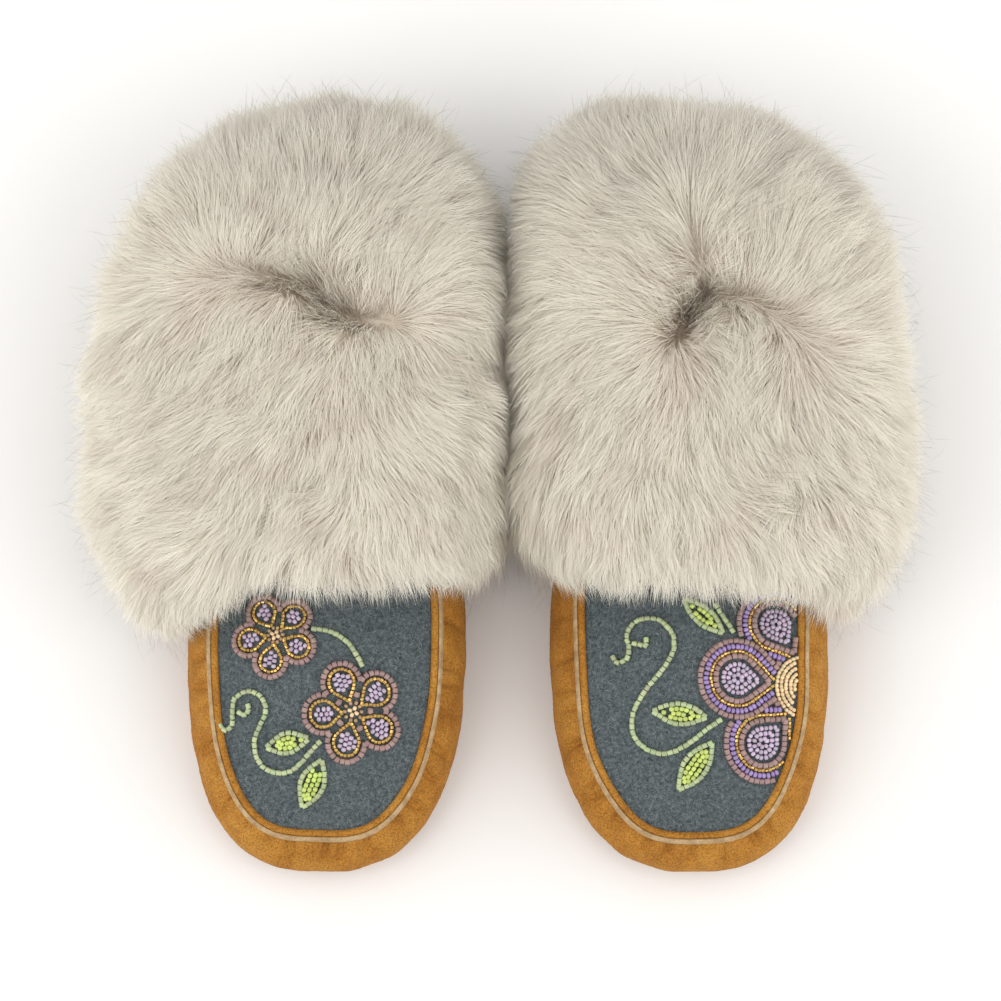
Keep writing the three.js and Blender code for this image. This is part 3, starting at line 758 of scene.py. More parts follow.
def sewFlower(name, plan, seed):
    # five teardrop petals: a row of tubes, a row of gold, and a few round beads inside
    petals, middle = BeadBox(), BeadBox()
    centre, scale = np.array(plan["centre"]), plan["scale"]
    for i in range(5):
        turn = np.radians(plan["turn"] + 72 * i)
        out = np.array([np.cos(turn), np.sin(turn)])
        heart = centre + out * petalAway * scale
        place, heading = alongPath(dropPath(heart, mauveRadius * scale, centre + out * 1.5), 1.85)
        from0 = place - centre
        swing = np.degrees(np.arccos(np.clip((unit(from0) * out).sum(1), -1, 1)))
        keep = (swing < 35.5) & (np.linalg.norm(from0, axis=1) > 5.6 * scale)
        petals.sew("mauve", (place[keep], heading[keep]))
        loop = dropPath(heart, goldRadius * scale, centre + out * 3.6 * scale)
        petals.sew("gold", alongPath(loop, 1.26))
        petals.sew("lilac", fillLoop(loop, 1.75, 1.35, turn))
    turn = np.arange(4) * np.pi / 2 + 0.4
    ring = centre + 1.15 * np.stack([np.cos(turn), np.sin(turn)], -1)
    middle.sew("cream", (ring, np.stack([-np.sin(turn), np.cos(turn)], -1)))
    turn = np.arange(10) * 2 * np.pi / 10
    ring = centre + 2.95 * scale * np.stack([np.cos(turn), np.sin(turn)], -1)
    middle.sew("tan", (ring, np.stack([-np.sin(turn), np.cos(turn)], -1)))
    petals.finish("right", name, [plan["nodes"][0]], seed)
    middle.finish("right", f"{name}Middle", [plan["nodes"][1]], seed + 1)


vines = {
    "right": {
        "Vine": [(37.4, 50.1), (34.3, 46.1), (31.7, 47.9), (31.5, 52.9), (30.4, 56.6), (25.9, 58.6),
                 (21.7, 56.6), (19.9, 52.2), (21.7, 47.6), (23.8, 42.8), (23.8, 38.5), (21.7, 34.1),
                 (16.8, 31.4), (12.2, 31.7), (8.4, 34.1), (4.9, 37.9), (0.9, 41.8)],
        "VineCurl": [(29.8, 52.0), (27.3, 50.9), (25.9, 52.5), (26.2, 54.6)],
        "FlowerStem": [(4.2, 79.2), (-1.8, 78.1), (-5.9, 76.2), (-9.1, 73.3), (-11.5, 69.5), (-13.2, 66.2)],
    },
    "left": {
        "Vine": [(-27.3, 70.7), (-26.0, 68.5), (-23.8, 68.4), (-22.0, 69.8), (-21.7, 73.8), (-22.4, 77.1),
                 (-20.6, 80.9), (-17.1, 82.8), (-12.2, 82.6), (-8.4, 79.6), (-6.3, 75.3), (-7.0, 70.4),
                 (-10.8, 64.6), (-15.0, 59.7), (-18.9, 54.0), (-20.6, 49.6), (-20.3, 44.6), (-17.1, 40.2),
                 (-11.5, 37.7), (-6.3, 38.3), (-1.0, 40.9), (4.5, 45.1), (10.1, 48.8)],
        "VineCurl": [(-20.6, 74.6), (-18.2, 74.0), (-16.1, 73.5), (-15.7, 76.5)],
        "LeafStem": [(7.6, 88.0), (14.2, 77.8)],
    },
}
leaves = {
    "right": {
        "LeafSide": {"tips": [(19.9, 39.7), (5.2, 42.5)], "wide": 8.2},
        "LeafToe": {"tips": [(0.7, 35.6), (7.7, 19.9)], "wide": 9.8},
    },
    "left": {
        "LeafSide": {"tips": [(-13.6, 51.6), (4.9, 49.4)], "wide": 8.4},
        "LeafToe": {"tips": [(7.0, 41.2), (-4.5, 25.8)], "wide": 9.6},
        "LeafHeel": {"tips": [(-2.9, 89.4), (10.5, 77.6)], "wide": 7.6},
    },
}
nodeNames = {
    "Vine": "vine", "VineCurl": "vine_curl", "FlowerStem": "flower_stem", "LeafSide": "leaf_side",
    "LeafToe": "leaf_toe", "LeafHeel": "leaf_heel", "LeafStem": "leaf_stem",
}


def sewGreens(sideName):
    # vines, stems and leaf edges as tubes along their lines, round beads inside each leaf
    for i, (name, points) in enumerate(vines[sideName].items()):
        box = BeadBox()
        box.sew("sage", alongPath(softCurve(points), leafGap))
        box.finish(sideName, name, [nodeNames[name]] if name in nodeNames else [], 70 + i)
    for i, (name, plan) in enumerate(leaves[sideName].items()):
        box = BeadBox()
        up, down = leafPath(*plan["tips"], plan["wide"] - leafInset)
        for edge in (up, down):
            box.sew("sage", alongPath(edge, leafGap))
        start, end = np.array(plan["tips"])
        along = unit(end - start)
        across = np.array([-along[1], along[0]])
        far = np.linalg.norm(end - start)
        half = (plan["wide"] - leafInset) / 2
        for row in (-1, 0, 1):
            at = np.arange(3.0 + 0.85 * (row == 0), far - 2.6, 1.7)
            room = half * np.sin(np.pi * at / far) - 1.65
            keep = room > (0.75 if row else 0.05)
            wide = np.clip(room, 0.9, 1.72)
            if row == 0:
                keep = (room > 1.25) | ((room < 0.75) & (room > -0.3))
            place = start + along * at[keep, None] + across * (row * wide[keep])[:, None]
            box.sew("lime", (place, np.tile(across, (len(place), 1))))
        box.finish(sideName, name, [nodeNames[name]], 80 + i)


blossom = {
    "disc": (38.6, 60.7), "discWide": 10.0, "discLong": 10.8,
    "petals": {
        "PetalMiddle": {"heart": (15.4, 62.4), "tip": (29.7, 61.4), "node": "petal_middle"},
        "PetalToe": {"heart": (24.4, 41.4), "tip": (33.6, 51.4), "node": "petal_toe"},
        "PetalHeel": {"heart": (28.8, 81.6), "tip": (35.6, 71.4), "node": "petal_heel"},
    },
    # kind, radius of the row round the petal's heart, spacing along it
    "rows": [("mauve", 12.7, 1.85), ("lavender", 10.75, 1.55), ("gold", 9.1, 1.25), ("mauve", 7.5, 1.85)],
    "fill": 5.6, "fillRings": (0.86, 0.55, 0.24), "cover": 13.75,
    "lean": 0.66,  # the sine of half the angle at a petal's tip
    "feltFrom": 12.4,  # how far in from the sole's edge the felt shows
    # the disc's rows: share of its size, and beads in the row
    "discRows": ((0.95, 21), (0.80, 19), (0.64, 16), (0.48, 12), (0.33, 8), (0.19, 4)),
}


def feltLimit(y):
    # how far out the felt shows at y, on the outer side
    edge = np.array(inset(blossom["feltFrom"])).T[rightSide]
    return np.interp(y, edge[:, 1], edge[:, 0])


def sewBlossom():
    # three petals that stop at the disc and at the felt's edge, and half a disc of rings
    disc = np.array(blossom["disc"])
    size = np.array([blossom["discWide"], blossom["discLong"]])
    covered = []
    for i, (name, plan) in enumerate(blossom["petals"].items()):
        heart, tip = np.array(plan["heart"]), np.array(plan["tip"])
        facing = unit(tip - heart)
        box = BeadBox()
        for kind, radius, gap in blossom["rows"]:
            row = dropPath(heart, radius, heart + facing * radius / blossom["lean"])
            place, heading = alongPath(row, gap)
            keep = (((place - disc) / (size + 0.7)) ** 2).sum(1) > 1
            keep &= place[:, 0] < feltLimit(place[:, 1]) - beadSizes[kind]["wide"] * 0.35
            for loop in covered:
                keep &= ~insideLoop(place, loop)
            box.sew(kind, (place[keep], heading[keep]))
        loop = dropPath(heart, blossom["fill"], heart + facing * blossom["fill"] / blossom["lean"])
        for shrink in blossom["fillRings"]:
            ring = heart + (loop - heart) * shrink
            place, heading = alongPath(ring, 1.58)
            keep = place[:, 0] < feltLimit(place[:, 1]) - 0.8
            keep &= (((place - disc) / (size + 0.5)) ** 2).sum(1) > 1
            box.sew("lilac", (place[keep], heading[keep]))
        end = heart + facing * blossom["cover"] / blossom["lean"]
        covered.append(dropPath(heart, blossom["cover"], end))
        box.finish("left", name, [plan["node"]], 90 + i)
    middle = BeadBox()
    for share, count in blossom["discRows"]:
        turn = np.linspace(np.pi / 2 + 0.12, 3 * np.pi / 2 - 0.12, count)
        place = disc + size * share * np.stack([np.cos(turn), np.sin(turn)], -1)
        keep = place[:, 0] < feltLimit(place[:, 1]) - 0.3
        heading = unit(size * np.stack([np.cos(turn), np.sin(turn)], -1))
        middle.sew("cream", (place[keep], heading[keep]))
    middle.finish("left", "BlossomCentre", ["blossom_centre"], 99)


# collar band and heel tab
band = {
    "gap": 0.35, "followsBelow": 60, "seat": 62,
    # how far the wall stands in from the opening, and how high
    "profile": [(0, 50), (0, 56), (0, 62.6), (0.6, 64), (1.4, 64), (2, 62.6), (2, 56), (2, 48), (1, 47),
                (0, 50)],
}


def makeBand(sideName):
    # an oval tube, its wall as a closed outline carried round the foot opening
    turn = np.linspace(0, 2 * np.pi, 160, endpoint=False)
    rows = []
    for shrink, z in band["profile"]:
        wide = shoe["openWide"] / 2 - band["gap"] - shrink
        long = shoe["openLong"] / 2 - band["gap"] - shrink
        u, y = wide * np.sin(turn), shoe["openAt"] - long * np.cos(turn)
        drop = z if z > band["followsBelow"] else z + roofHeight(np.abs(u), y) - band["seat"]
        rows.append(np.stack([u, y, np.zeros_like(u) + drop], -1))
    grid = np.array(rows)
    faces = [gridFaces(len(grid), len(turn))]
    addPiece(sideName, "CollarBand", grid, faces, suede, ["collar_band"], weld=True)


heelTab = {"halfArc": 11.0, "low": 12.0, "high": 50.0, "thick": 1.6}


def makeHeelTab(sideName):
    # a patch of the wall's own surface, raised on all sides by its thickness
    middle = shoe["stations"]
    picked = np.arange(middle - 40, middle + 41)
    across = rim["along"][picked] - rim["along"][middle]
    picked = picked[np.abs(across) < heelTab["halfArc"]]
    heights = np.linspace(heelTab["low"], heelTab["high"], 24)
    share = (heights - shoe["bottom"]) / (shoe["heelRim"] - shoe["bottom"])
    rows = [wallRow(s, -0.3) for s in share]
    inner = np.array(rows)[:, picked]
    out = np.stack([rim["nu"], rim["ny"], np.zeros(stationCount)], -1)[picked]
    edge = np.minimum.outer(
        np.minimum(heights - heelTab["low"], heelTab["high"] - heights),
        heelTab["halfArc"] - np.abs(rim["along"][picked] - rim["along"][middle]))
    outer = inner + out * (heelTab["thick"] * np.sqrt(smooth(edge / 1.6 + 0.1)))[..., None]
    count = len(picked)
    top = gridFaces(len(heights), count, wrap=False)
    n = outer.shape[0] * count
    loop = np.concatenate([
        np.arange(count), np.arange(1, len(heights)) * count + count - 1,
        (len(heights) - 1) * count + np.arange(count - 2, -1, -1),
        np.arange(len(heights) - 2, 0, -1) * count])
    walls = np.stack([loop, np.roll(loop, -1), np.roll(loop, -1) + n, loop + n], -1)
    faces = [top, top[:, ::-1] + n, walls[:, ::-1]]
    points = np.concatenate([outer.reshape(-1, 3), inner.reshape(-1, 3)])
    addPiece(sideName, "HeelTab", points, faces, suede, ["heel_tab"], weld=True)


# hair and fuzz: flat tapering ribbons on a surface
def surfaceGrid(grid, wrap):
    # a grid of points with the two directions along it and the outward direction at each
    if wrap:
        acrossDir = np.roll(grid, -1, 1) - np.roll(grid, 1, 1)
    else:
        acrossDir = np.gradient(grid, axis=1)
    downDir = np.gradient(grid, axis=0)
    return unit(acrossDir), unit(downDir), unit(np.cross(downDir, acrossDir))


def scatter(grid, wrap, count, dice, weight=None):
    # picks cells by area and weight, and a place inside each; returns the grid coordinates
    nextCol = np.roll(grid, -1, 1)
    a = nextCol[:-1] - grid[:-1]
    b = grid[1:] - grid[:-1]
    area = np.linalg.norm(np.cross(a, b), axis=-1)
    if not wrap:
        area[:, -1] = 0
    if weight is not None:
        area = area * weight[:-1]
    chance = np.cumsum(area.ravel())
    cell = np.searchsorted(chance, dice.uniform(0, chance[-1], count))
    i, j = np.divmod(np.minimum(cell, area.size - 1), grid.shape[1])
    return i + dice.uniform(size=count), j + dice.uniform(size=count)


def sample(values, i, j):
    # a bilinear mix of the four grid values round each place
    rows, cols = values.shape[:2]
    i0 = np.minimum(i.astype(int), rows - 2)
    j0 = j.astype(int) % cols
    j1 = (j0 + 1) % cols
    fi, fj = (i - i0)[:, None], (j - np.floor(j))[:, None]
    low = values[i0, j0] * (1 - fj) + values[i0, j1] * fj
    high = values[i0 + 1, j0] * (1 - fj) + values[i0 + 1, j1] * fj
    return low * (1 - fi) + high * fi


def ribbons(root, first, last, length, wide, outward, segments, roll, bend=None):
    # each strand runs from its root along a path that turns evenly from the first direction to the last
    s = np.linspace(0, 1, segments + 1)[:, None, None]
    path = root + length[:, None] * (first * (s - s**2 / 2) + last * (s**2 / 2))
    if bend is not None:
        path = path + bend * s**2
    heading = unit(first * (1 - s) + last * s)
    flatSide = unit(np.cross(heading, outward))
    upSide = np.cross(heading, flatSide)
    flatSide = flatSide * np.cos(roll)[:, None] + upSide * np.sin(roll)[:, None]
    taper = (0.75 + 0.6 * s[:-1] - 1.25 * s[:-1] ** 2) * wide[:, None]
    left, right = path[:-1] - flatSide[:-1] * taper / 2, path[:-1] + flatSide[:-1] * taper / 2
    count = len(root)
    edges = np.stack([left, right], 1).reshape(segments * 2, count, 3)
    points = np.concatenate([edges, path[-1:]]).transpose(1, 0, 2)
    per = segments * 2 + 1
    k = np.arange(segments - 1) * 2
    quads = np.stack([k, k + 1, k + 3, k + 2], -1)
    tip = np.array([[per - 3, per - 2, per - 1]])
    shift = (np.arange(count) * per)[:, None, None]
    faces = [(quads + shift).reshape(-1, 4), (tip + shift).reshape(-1, 3)]
    return points, faces, np.repeat(s.ravel(), 2)[:per]


fuzzes = {
    # count, length, width, lift in degrees, and its tones
    "FeltFuzz": {"count": 9000, "long": 2.4, "wide": 0.10, "lift": 12,
                 "tones": [(0.045, 0.055, 0.062), (0.16, 0.185, 0.195), (0.30, 0.33, 0.34)]},
    "SuedeNap": {"count": 13000, "long": 0.75, "wide": 0.13, "lift": 55,
                 "tones": [(0.22, 0.09, 0.015), (0.52, 0.23, 0.04), (0.66, 0.36, 0.09)]},
}


def growFuzz(sideName, name, grid, wrap, seed, weight=None):
    # short fibres in all directions, half lying down
    plan = fuzzes[name]
    dice = np.random.default_rng(seed)
    _, downDir, outDir = surfaceGrid(grid, wrap)
    i, j = scatter(grid, wrap, plan["count"], dice, weight)
    root, down = sample(grid, i, j), unit(sample(downDir, i, j))
    out = unit(sample(outDir, i, j))
    turn = dice.uniform(0, 2 * np.pi, plan["count"])[:, None]
    flow = down * np.cos(turn) + np.cross(out, down) * np.sin(turn)
    lift = np.radians(plan["lift"] * dice.uniform(0.5, 1.5, plan["count"]))[:, None]
    bendTurn = turn + dice.normal(0, 0.7, plan["count"])[:, None]
    bent = down * np.cos(bendTurn) + np.cross(out, down) * np.sin(bendTurn)
    first, last = flow * np.cos(lift) + out * np.sin(lift), unit(bent + out * 0.05)
    length = plan["long"] * dice.uniform(0.5, 1.3, plan["count"])
    wide = np.full(plan["count"], plan["wide"])
    roll = dice.normal(0, 0.5, plan["count"])
    points, faces, along = ribbons(root, first, last, length, wide, out, 2, roll)
    tones = np.array(plan["tones"])[dice.integers(0, len(plan["tones"]), plan["count"])]
    colours = np.repeat(tones * dice.uniform(0.8, 1.2, (plan["count"], 1)), len(along), axis=0)
    addPiece(sideName, name, points, faces, fuzz, colours=colours)


# the fur cuff: a pelt puffed up as cloth, and the hair that grows on it
cuff = {
    "middle": (2.0, 186.0), "widestAt": 141.9, "backTo": 262.0, "frontFrom": 98.5, "innerReach": 60.5,
    "thick": 2.5, "pressure": 3.0, "puffCap": 5.0, "lumps": 2.0,
    # share of the way from the middle to the outline, and height, at even steps over the cuff
    "ways": [0.0, 0.2, 0.4, 0.58, 0.73, 0.85, 0.935, 0.985, 1.0, 0.99, 0.955],
    "heights": [82, 84.5, 86, 85.5, 82, 75, 65, 53, 41, 30, 19],
    "around": 288, "over": 91,
}
# outline: reach outwards, bluntness of its four corners, and how far the outer front corner hangs lower
cuffPlans = {
    "right": {"outerReach": 78.0, "outerBack": 2.45, "outerFront": 3.9, "innerBack": 3.2, "innerFront": 3.6,
              "drop": 15},
    "left": {"outerReach": 71.5, "outerBack": 2.6, "outerFront": 4.2, "innerBack": 4.6, "innerFront": 3.2,
             "drop": 8},
}
# folds: u, y and depth at each point, then the width; the first ones also part the hair
cuffFolds = {
    "right": [
        ([(33.6, 197.4, 2), (19.6, 196.3, 6), (5.6, 194.4, 10), (-3.2, 187, 10), (-11.2, 181.8, 8),
          (-25.9, 180.9, 3)], 5),
        ([(-42, 172, 2), (-45, 130, 3.5), (-43, 105, 2)], 6),
        ([(20, 133, 1), (4.5, 128, 3.5), (-10, 131, 1)], 7),
    ],
    "left": [
        ([(-7.3, 172.1, 4), (-1.8, 183, 8.5), (5.6, 189.9, 8), (17.5, 188.4, 6), (29.8, 181.3, 4),
          (40.3, 170.6, 1)], 5),
        ([(4.4, 193.9, 6), (2.5, 202.7, 4), (-1.8, 216, 2)], 4),
        ([(-17.5, 134.4, 1.5), (2.5, 125.4, 4), (22, 123.5, 3), (30.5, 121.8, 6), (49, 129, 1.5)], 6),
    ],
}
# cowlicks: u, y, radius, and degrees that the hair turns through
cowlicks = {
    "right": [(4.5, 128, 12, 55), (-40, 150, 16, -30), (24, 150, 14, 25)],
    "left": [(10, 128, 13, 60), (31, 121, 7, -110), (-30, 170, 16, 30)],
}
hair = {
    "count": 114000, "tall": 103.0, "long": 18.5, "wide": 0.22, "segments": 3,
    "liftRoot": 34, "liftTip": 8, "partLift": 52, "partLiftTip": 26, "partWide": 3.2,
    # how far hair turns aside over wide and small stretches, and how long these are
    "swirl": 0.5, "swirlLong": 60, "curl": 0.42, "curlLong": 24,
    # spread of the turn in radians and of the lifts in degrees, by lock and by strand
    "lockTurn": 0.2, "turn": 0.17, "lockLift": 5, "lift": 6, "tipLift": 7,
    "clump": 4.5, "clumpPull": 0.12, "restGap": 2.4, "floorGap": 0.6, "cross": 1.2,
    "guardCount": 3800, "guardLong": 24.0, "guardWide": 0.12, "guardSegments": 4, "guardTurn": 0.3,
    "guardLift": 8, "guardTipLift": 5, "guardBend": 4.5, "guardAtHem": 3.5, "atHem": -0.45,
    # partingShadeRoot is painted shade: the roots' darker brown in the parting's crease
    "cream": (0.935, 0.89, 0.785), "root": (0.89, 0.83, 0.735), "partingShadeRoot": (0.60, 0.50, 0.385),
    # greyAndShadedTip: some tips are grey at random, and where more of them gather at the hem they are
    # painted shade
    "tip": (0.945, 0.915, 0.82), "underfur": (0.84, 0.755, 0.67), "greyAndShadedTip": (0.72, 0.70, 0.65),
    # paintedHeelShade is painted shade: the share by which the strands darken towards the heel
    "guardDark": (0.09, 0.07, 0.055), "paintedHeelShade": 0.13,
}
sectorNames = ("PileToe", "PileOuter", "PileHeel", "PileInner")


def cuffOutline(sideName, turn):
    # a superellipse with its own bluntness in each quarter; turn 0 faces the toe
    plan = cuffPlans[sideName]
    s, c = np.sin(turn), -np.cos(turn)
    blunt = np.where(
        s > 0, np.where(c > 0, plan["outerBack"], plan["outerFront"]),
        np.where(c > 0, plan["innerBack"], plan["innerFront"]))
    wide = np.where(s > 0, plan["outerReach"], cuff["innerReach"])
    long = np.where(c > 0, cuff["backTo"] - cuff["widestAt"], cuff["widestAt"] - cuff["frontFrom"])
    reach = (np.abs(s) ** blunt + np.abs(c) ** blunt) ** (-1 / blunt)
    u, y = wide * s * reach, cuff["widestAt"] + long * c * reach
    return u, y - plan["drop"] * np.exp(-(((u - 54) / 20) ** 2)) * smooth(-c / 0.5)


def nearFold(points, u, y):
    # the distance to a line through the points, the way away from it, and its depth at the nearest place
    path = softCurve([p[:2] for p in points], 6)
    steps = np.linspace(0, 1, len(path))
    deep = np.interp(steps, np.linspace(0, 1, len(points)), [p[2] for p in points])
    gap = np.stack([u[..., None] - path[:, 0], y[..., None] - path[:, 1]], -1)
    far = np.linalg.norm(gap, axis=-1)
    nearest = far.argmin(-1)
    away = np.take_along_axis(gap, nearest[..., None, None], -2)[..., 0, :]
    return far.min(-1), away, deep[nearest]


def puff(points, faces, pinned, pressure, cap):
    # swells a copy as cloth for twenty frames; returns how far each point moved, never more than cap
    trial = makeObject("trial", points / 1000, [faces])
    pins = trial.vertex_groups.new(name="pins")
    pins.add([int(i) for i in pinned], 1.0, "REPLACE")
    cloth = trial.modifiers.new("cloth", "CLOTH")
    cloth.settings.quality = 5
    cloth.settings.tension_stiffness = 12
    cloth.settings.compression_stiffness = 12
    cloth.settings.bending_stiffness = 0.6
    cloth.settings.vertex_group_mass = "pins"
    cloth.settings.use_pressure = True
    cloth.settings.uniform_pressure_force = pressure
    cloth.settings.effector_weights.gravity = 0
    cloth.point_cache.frame_start, cloth.point_cache.frame_end = 1, 20
    for number in range(1, 21):
        bpy.context.scene.frame_set(number)
    shaped = trial.evaluated_get(bpy.context.evaluated_depsgraph_get())
    moved = np.zeros(len(points) * 3, np.float32)
    shaped.data.vertices.foreach_get("co", moved)
    bpy.data.objects.remove(trial)
    bpy.context.scene.frame_set(1)
    shift = moved.reshape(-1, 3) * 1000 - points
    far = np.linalg.norm(shift, axis=1, keepdims=True)
    return shift * np.minimum(1, cap / np.maximum(far, 1e-6))


def cuffGrid(sideName):
    # the outline drawn in row by row, raised over the vamp, puffed, lumped and folded
    around, over = cuff["around"], cuff["over"]
    outU, outY = cuffOutline(sideName, np.linspace(0, 2 * np.pi, around, endpoint=False))
    knots, steps = np.linspace(0, 1, len(cuff["ways"])), np.linspace(0, 1, over)
    way, high = np.interp(steps, knots, cuff["ways"]), np.interp(steps, knots, cuff["heights"])
    for _ in range(8):  # rounds the corners that straight steps leave
        way[1:-1] = (way[:-2] + 2 * way[1:-1] + way[2:]) / 4
        high[1:-1] = (high[:-2] + 2 * high[1:-1] + high[2:]) / 4
    u = cuff["middle"][0] + (outU - cuff["middle"][0]) * way[:, None]
    y = cuff["middle"][1] + (outY - cuff["middle"][1]) * way[:, None]
    # the hem rests over the vamp: the whole height is squeezed in above it
    safeY = np.clip(y, 1, 250)
    overShoe = smooth((halfWidth(safeY) + 6 - np.abs(u - centreLine(safeY))) / 14)
    low = np.where(y < 160, (roofHeight(np.clip(u, -46, 46), safeY) + 5.5) * overShoe, 0)
    low = np.maximum(cuff["heights"][-1], low)
    top = max(cuff["heights"])
    z = low + (high[:, None] - cuff["heights"][-1]) * (top - low) / (top - cuff["heights"][-1])
    z = np.where(way[:, None] < 0.6, high[:, None], z)
    grid = np.stack([u, y, z], -1)
    coarse = grid[3::3, ::3]
    shape = coarse.shape
    pinned = np.arange(shape[0] * shape[1]).reshape(shape[:2])[-2:].ravel()
    faces = gridFaces(*shape[:2])[:, ::-1]
    shift = puff(coarse.reshape(-1, 3), faces, pinned, cuff["pressure"], cuff["puffCap"]).reshape(shape)
    rows = np.clip((np.arange(over) - 3) / 3, 0, shape[0] - 1.001)
    i, j = np.meshgrid(rows, np.arange(around) / 3, indexing="ij")
    moved = sample(shift, i.ravel(), j.ravel()).reshape(grid.shape)
    grid = grid + moved * smooth(way / 0.1)[:, None, None]
    _, _, out = surfaceGrid(grid, True)
    lumps = makeWobble(101 + sides[sideName], 44)(grid) + 0.45 * makeWobble(105 + sides[sideName], 19)(grid)
    fade = smooth((1.05 - steps) / 0.2)
    grid = grid + out * (cuff["lumps"] * lumps * fade[:, None])[..., None]
    for points, width in cuffFolds[sideName]:
        far, _, deep = nearFold(points, grid[..., 0], grid[..., 1])
        grid[..., 2] -= deep * np.exp(-((far / width) ** 2)) * smooth((grid[..., 2] - 55) / 20)
    grid[0] = grid[0].mean(0)
    limit = 2.6 - shoe["spacing"] / 2 + sides[sideName] * meeting(grid[..., 1], grid[..., 2])
    grid[..., 0] = np.maximum(grid[..., 0], limit)
    return grid


def hairFlow(sideName, grid):
    # down over the cuff, but straight away from the parting near it, and turned by the cowlicks
    _, downDir, outDir = surfaceGrid(grid, True)
    downDir[0], outDir[0] = downDir[1], [0, 0, 1]
    parting = np.full(grid.shape[:2], 1e3)
    away = np.zeros((*grid.shape[:2], 2))
    for points, _ in cuffFolds[sideName][: 2 if sideName == "left" else 1]:
        far, gap, deep = nearFold(points, grid[..., 0], grid[..., 1])
        far = far + 9 * (1 - smooth(deep / 8))
        away = np.where((far < parting)[..., None], gap, away)
        parting = np.minimum(parting, far)
    plan = np.concatenate([away / (parting[..., None] + 5), np.zeros((*parting.shape, 1))], -1)
    share = np.exp(-((parting / 38) ** 2))[..., None]
    flow = plan * share + downDir * (1 - share)
    alongside = 0.85 * smooth((-30 - grid[..., 0]) / 18) * smooth((232 - grid[..., 1]) / 34)
    alongside = (alongside * smooth((parting - 8) / 20))[..., None]
    flow = flow * (1 - alongside) + np.array([-0.1, -0.9, -0.25]) * alongside
    for _ in range(14):  # evens the flow out with its neighbours'
        flow = (2 * flow + np.roll(flow, 1, 1) + np.roll(flow, -1, 1)) / 4
        flow[1:-1] = (2 * flow[1:-1] + flow[:-2] + flow[2:]) / 4
    flow = unit(flow - outDir * (flow * outDir).sum(-1, keepdims=True))
    turn = np.zeros(parting.shape)
    for u, y, radius, degrees in cowlicks[sideName]:
        far = np.hypot(grid[..., 0] - u, grid[..., 1] - y)
        turn += np.radians(degrees) * np.exp(-((far / radius) ** 2)) * (grid[..., 2] > 50)
    return flow, outDir, parting[..., None], turn[..., None]


def meeting(y, z):
    # where the two cuffs press together, as a wavering surface between them
    p = np.stack([np.zeros_like(y), y, z], -1)
    return 2.0 * makeWobble(401, 46)(p) + 0.9 * makeWobble(402, 15)(p)


def keepClear(sideName, points):
    # hair lies on the vamp, stays off the ground, and presses up against the other slipper's hair
    u, y, z = points[..., 0], points[..., 1], points[..., 2]
    safeY = np.clip(y, 1, 200)
    onShoe = (np.abs(u - centreLine(safeY)) < halfWidth(safeY) - 5) & (y < 150) & (y > 3)
    rest = roofHeight(np.clip(u, -46, 46), safeY) + hair["restGap"]
    z = np.where(onShoe, np.maximum(z, rest), np.maximum(z, hair["floorGap"]))
    z = np.where(z > hair["tall"], hair["tall"] + 5 * (1 - np.exp(-(z - hair["tall"]) / 5)), z)
    limit = -hair["cross"] - shoe["spacing"] / 2 + sides[sideName] * meeting(y, z)
    start = limit + 2 * hair["cross"]
    squeezed = start + (limit - start) * (1 - np.exp(-(start - np.minimum(u, start)) / (start - limit)))
    u = np.where(u < start, squeezed, u)
    return np.stack([u, y, z], -1)


def hairColours(sideName, dice, root, far, hem, lock, along, guard):
    # from the root's tone to the coat's and on to the tip's, by smooth steps along the strand, with painted
    # shade in the parting, at the hem and towards the heel
    count = len(root)
    s = along[None, :, None]
    shade = dice.uniform(0.975, 1.02, (count, 1, 1))
    shade = shade * dice.normal(1, 0.008, lock.max() + 1)[lock][:, None, None]
    # a few tips are grey at random everywhere; the extra share at the hem is painted shade under the cuff's
    # edge
    tipGreyAndShaded = dice.uniform(size=(count, 1, 1)) < 0.08 + 0.3 * hem[:, None, None]
    tip = np.where(tipGreyAndShaded, np.array(hair["greyAndShadedTip"]), np.array(hair["tip"]))
    if guard:
        tip = np.array(hair["guardDark"]) * dice.uniform(0.7, 2.6, (count, 1, 1))
    # patches where the pinkish underfur shows more
    pink = smooth(0.35 + 0.9 * makeWobble(221 + sides[sideName], 21)(root))[:, None, None] * 0.75
    cream = hair["cream"] + (np.array(hair["underfur"]) - hair["cream"]) * pink
    tip = tip + (np.array(hair["underfur"]) - tip) * pink * (0 if guard else 0.35)
    # painted shade: near the parting the roots are darkened to brown, and the dark part runs further up
    # each strand, as shade in the crease
    partingShade = np.exp(-((far / 7) ** 2))[:, None, None]
    base = hair["root"] + (np.array(hair["partingShadeRoot"]) - hair["root"]) * partingShade
    colours = base + (cream - base) * smooth(s / (0.34 + 0.4 * partingShade))
    colours = np.clip((colours + (tip - colours) * smooth((s - 0.35) / 0.45)) * shade, 0, 0.96)
    # painted shade: the strands darken towards the heel, where the back of the cuff slopes away from the
    # light
    return colours * (1 - hair["paintedHeelShade"] * smooth((root[:, 1] - 195) / 50))[:, None, None]


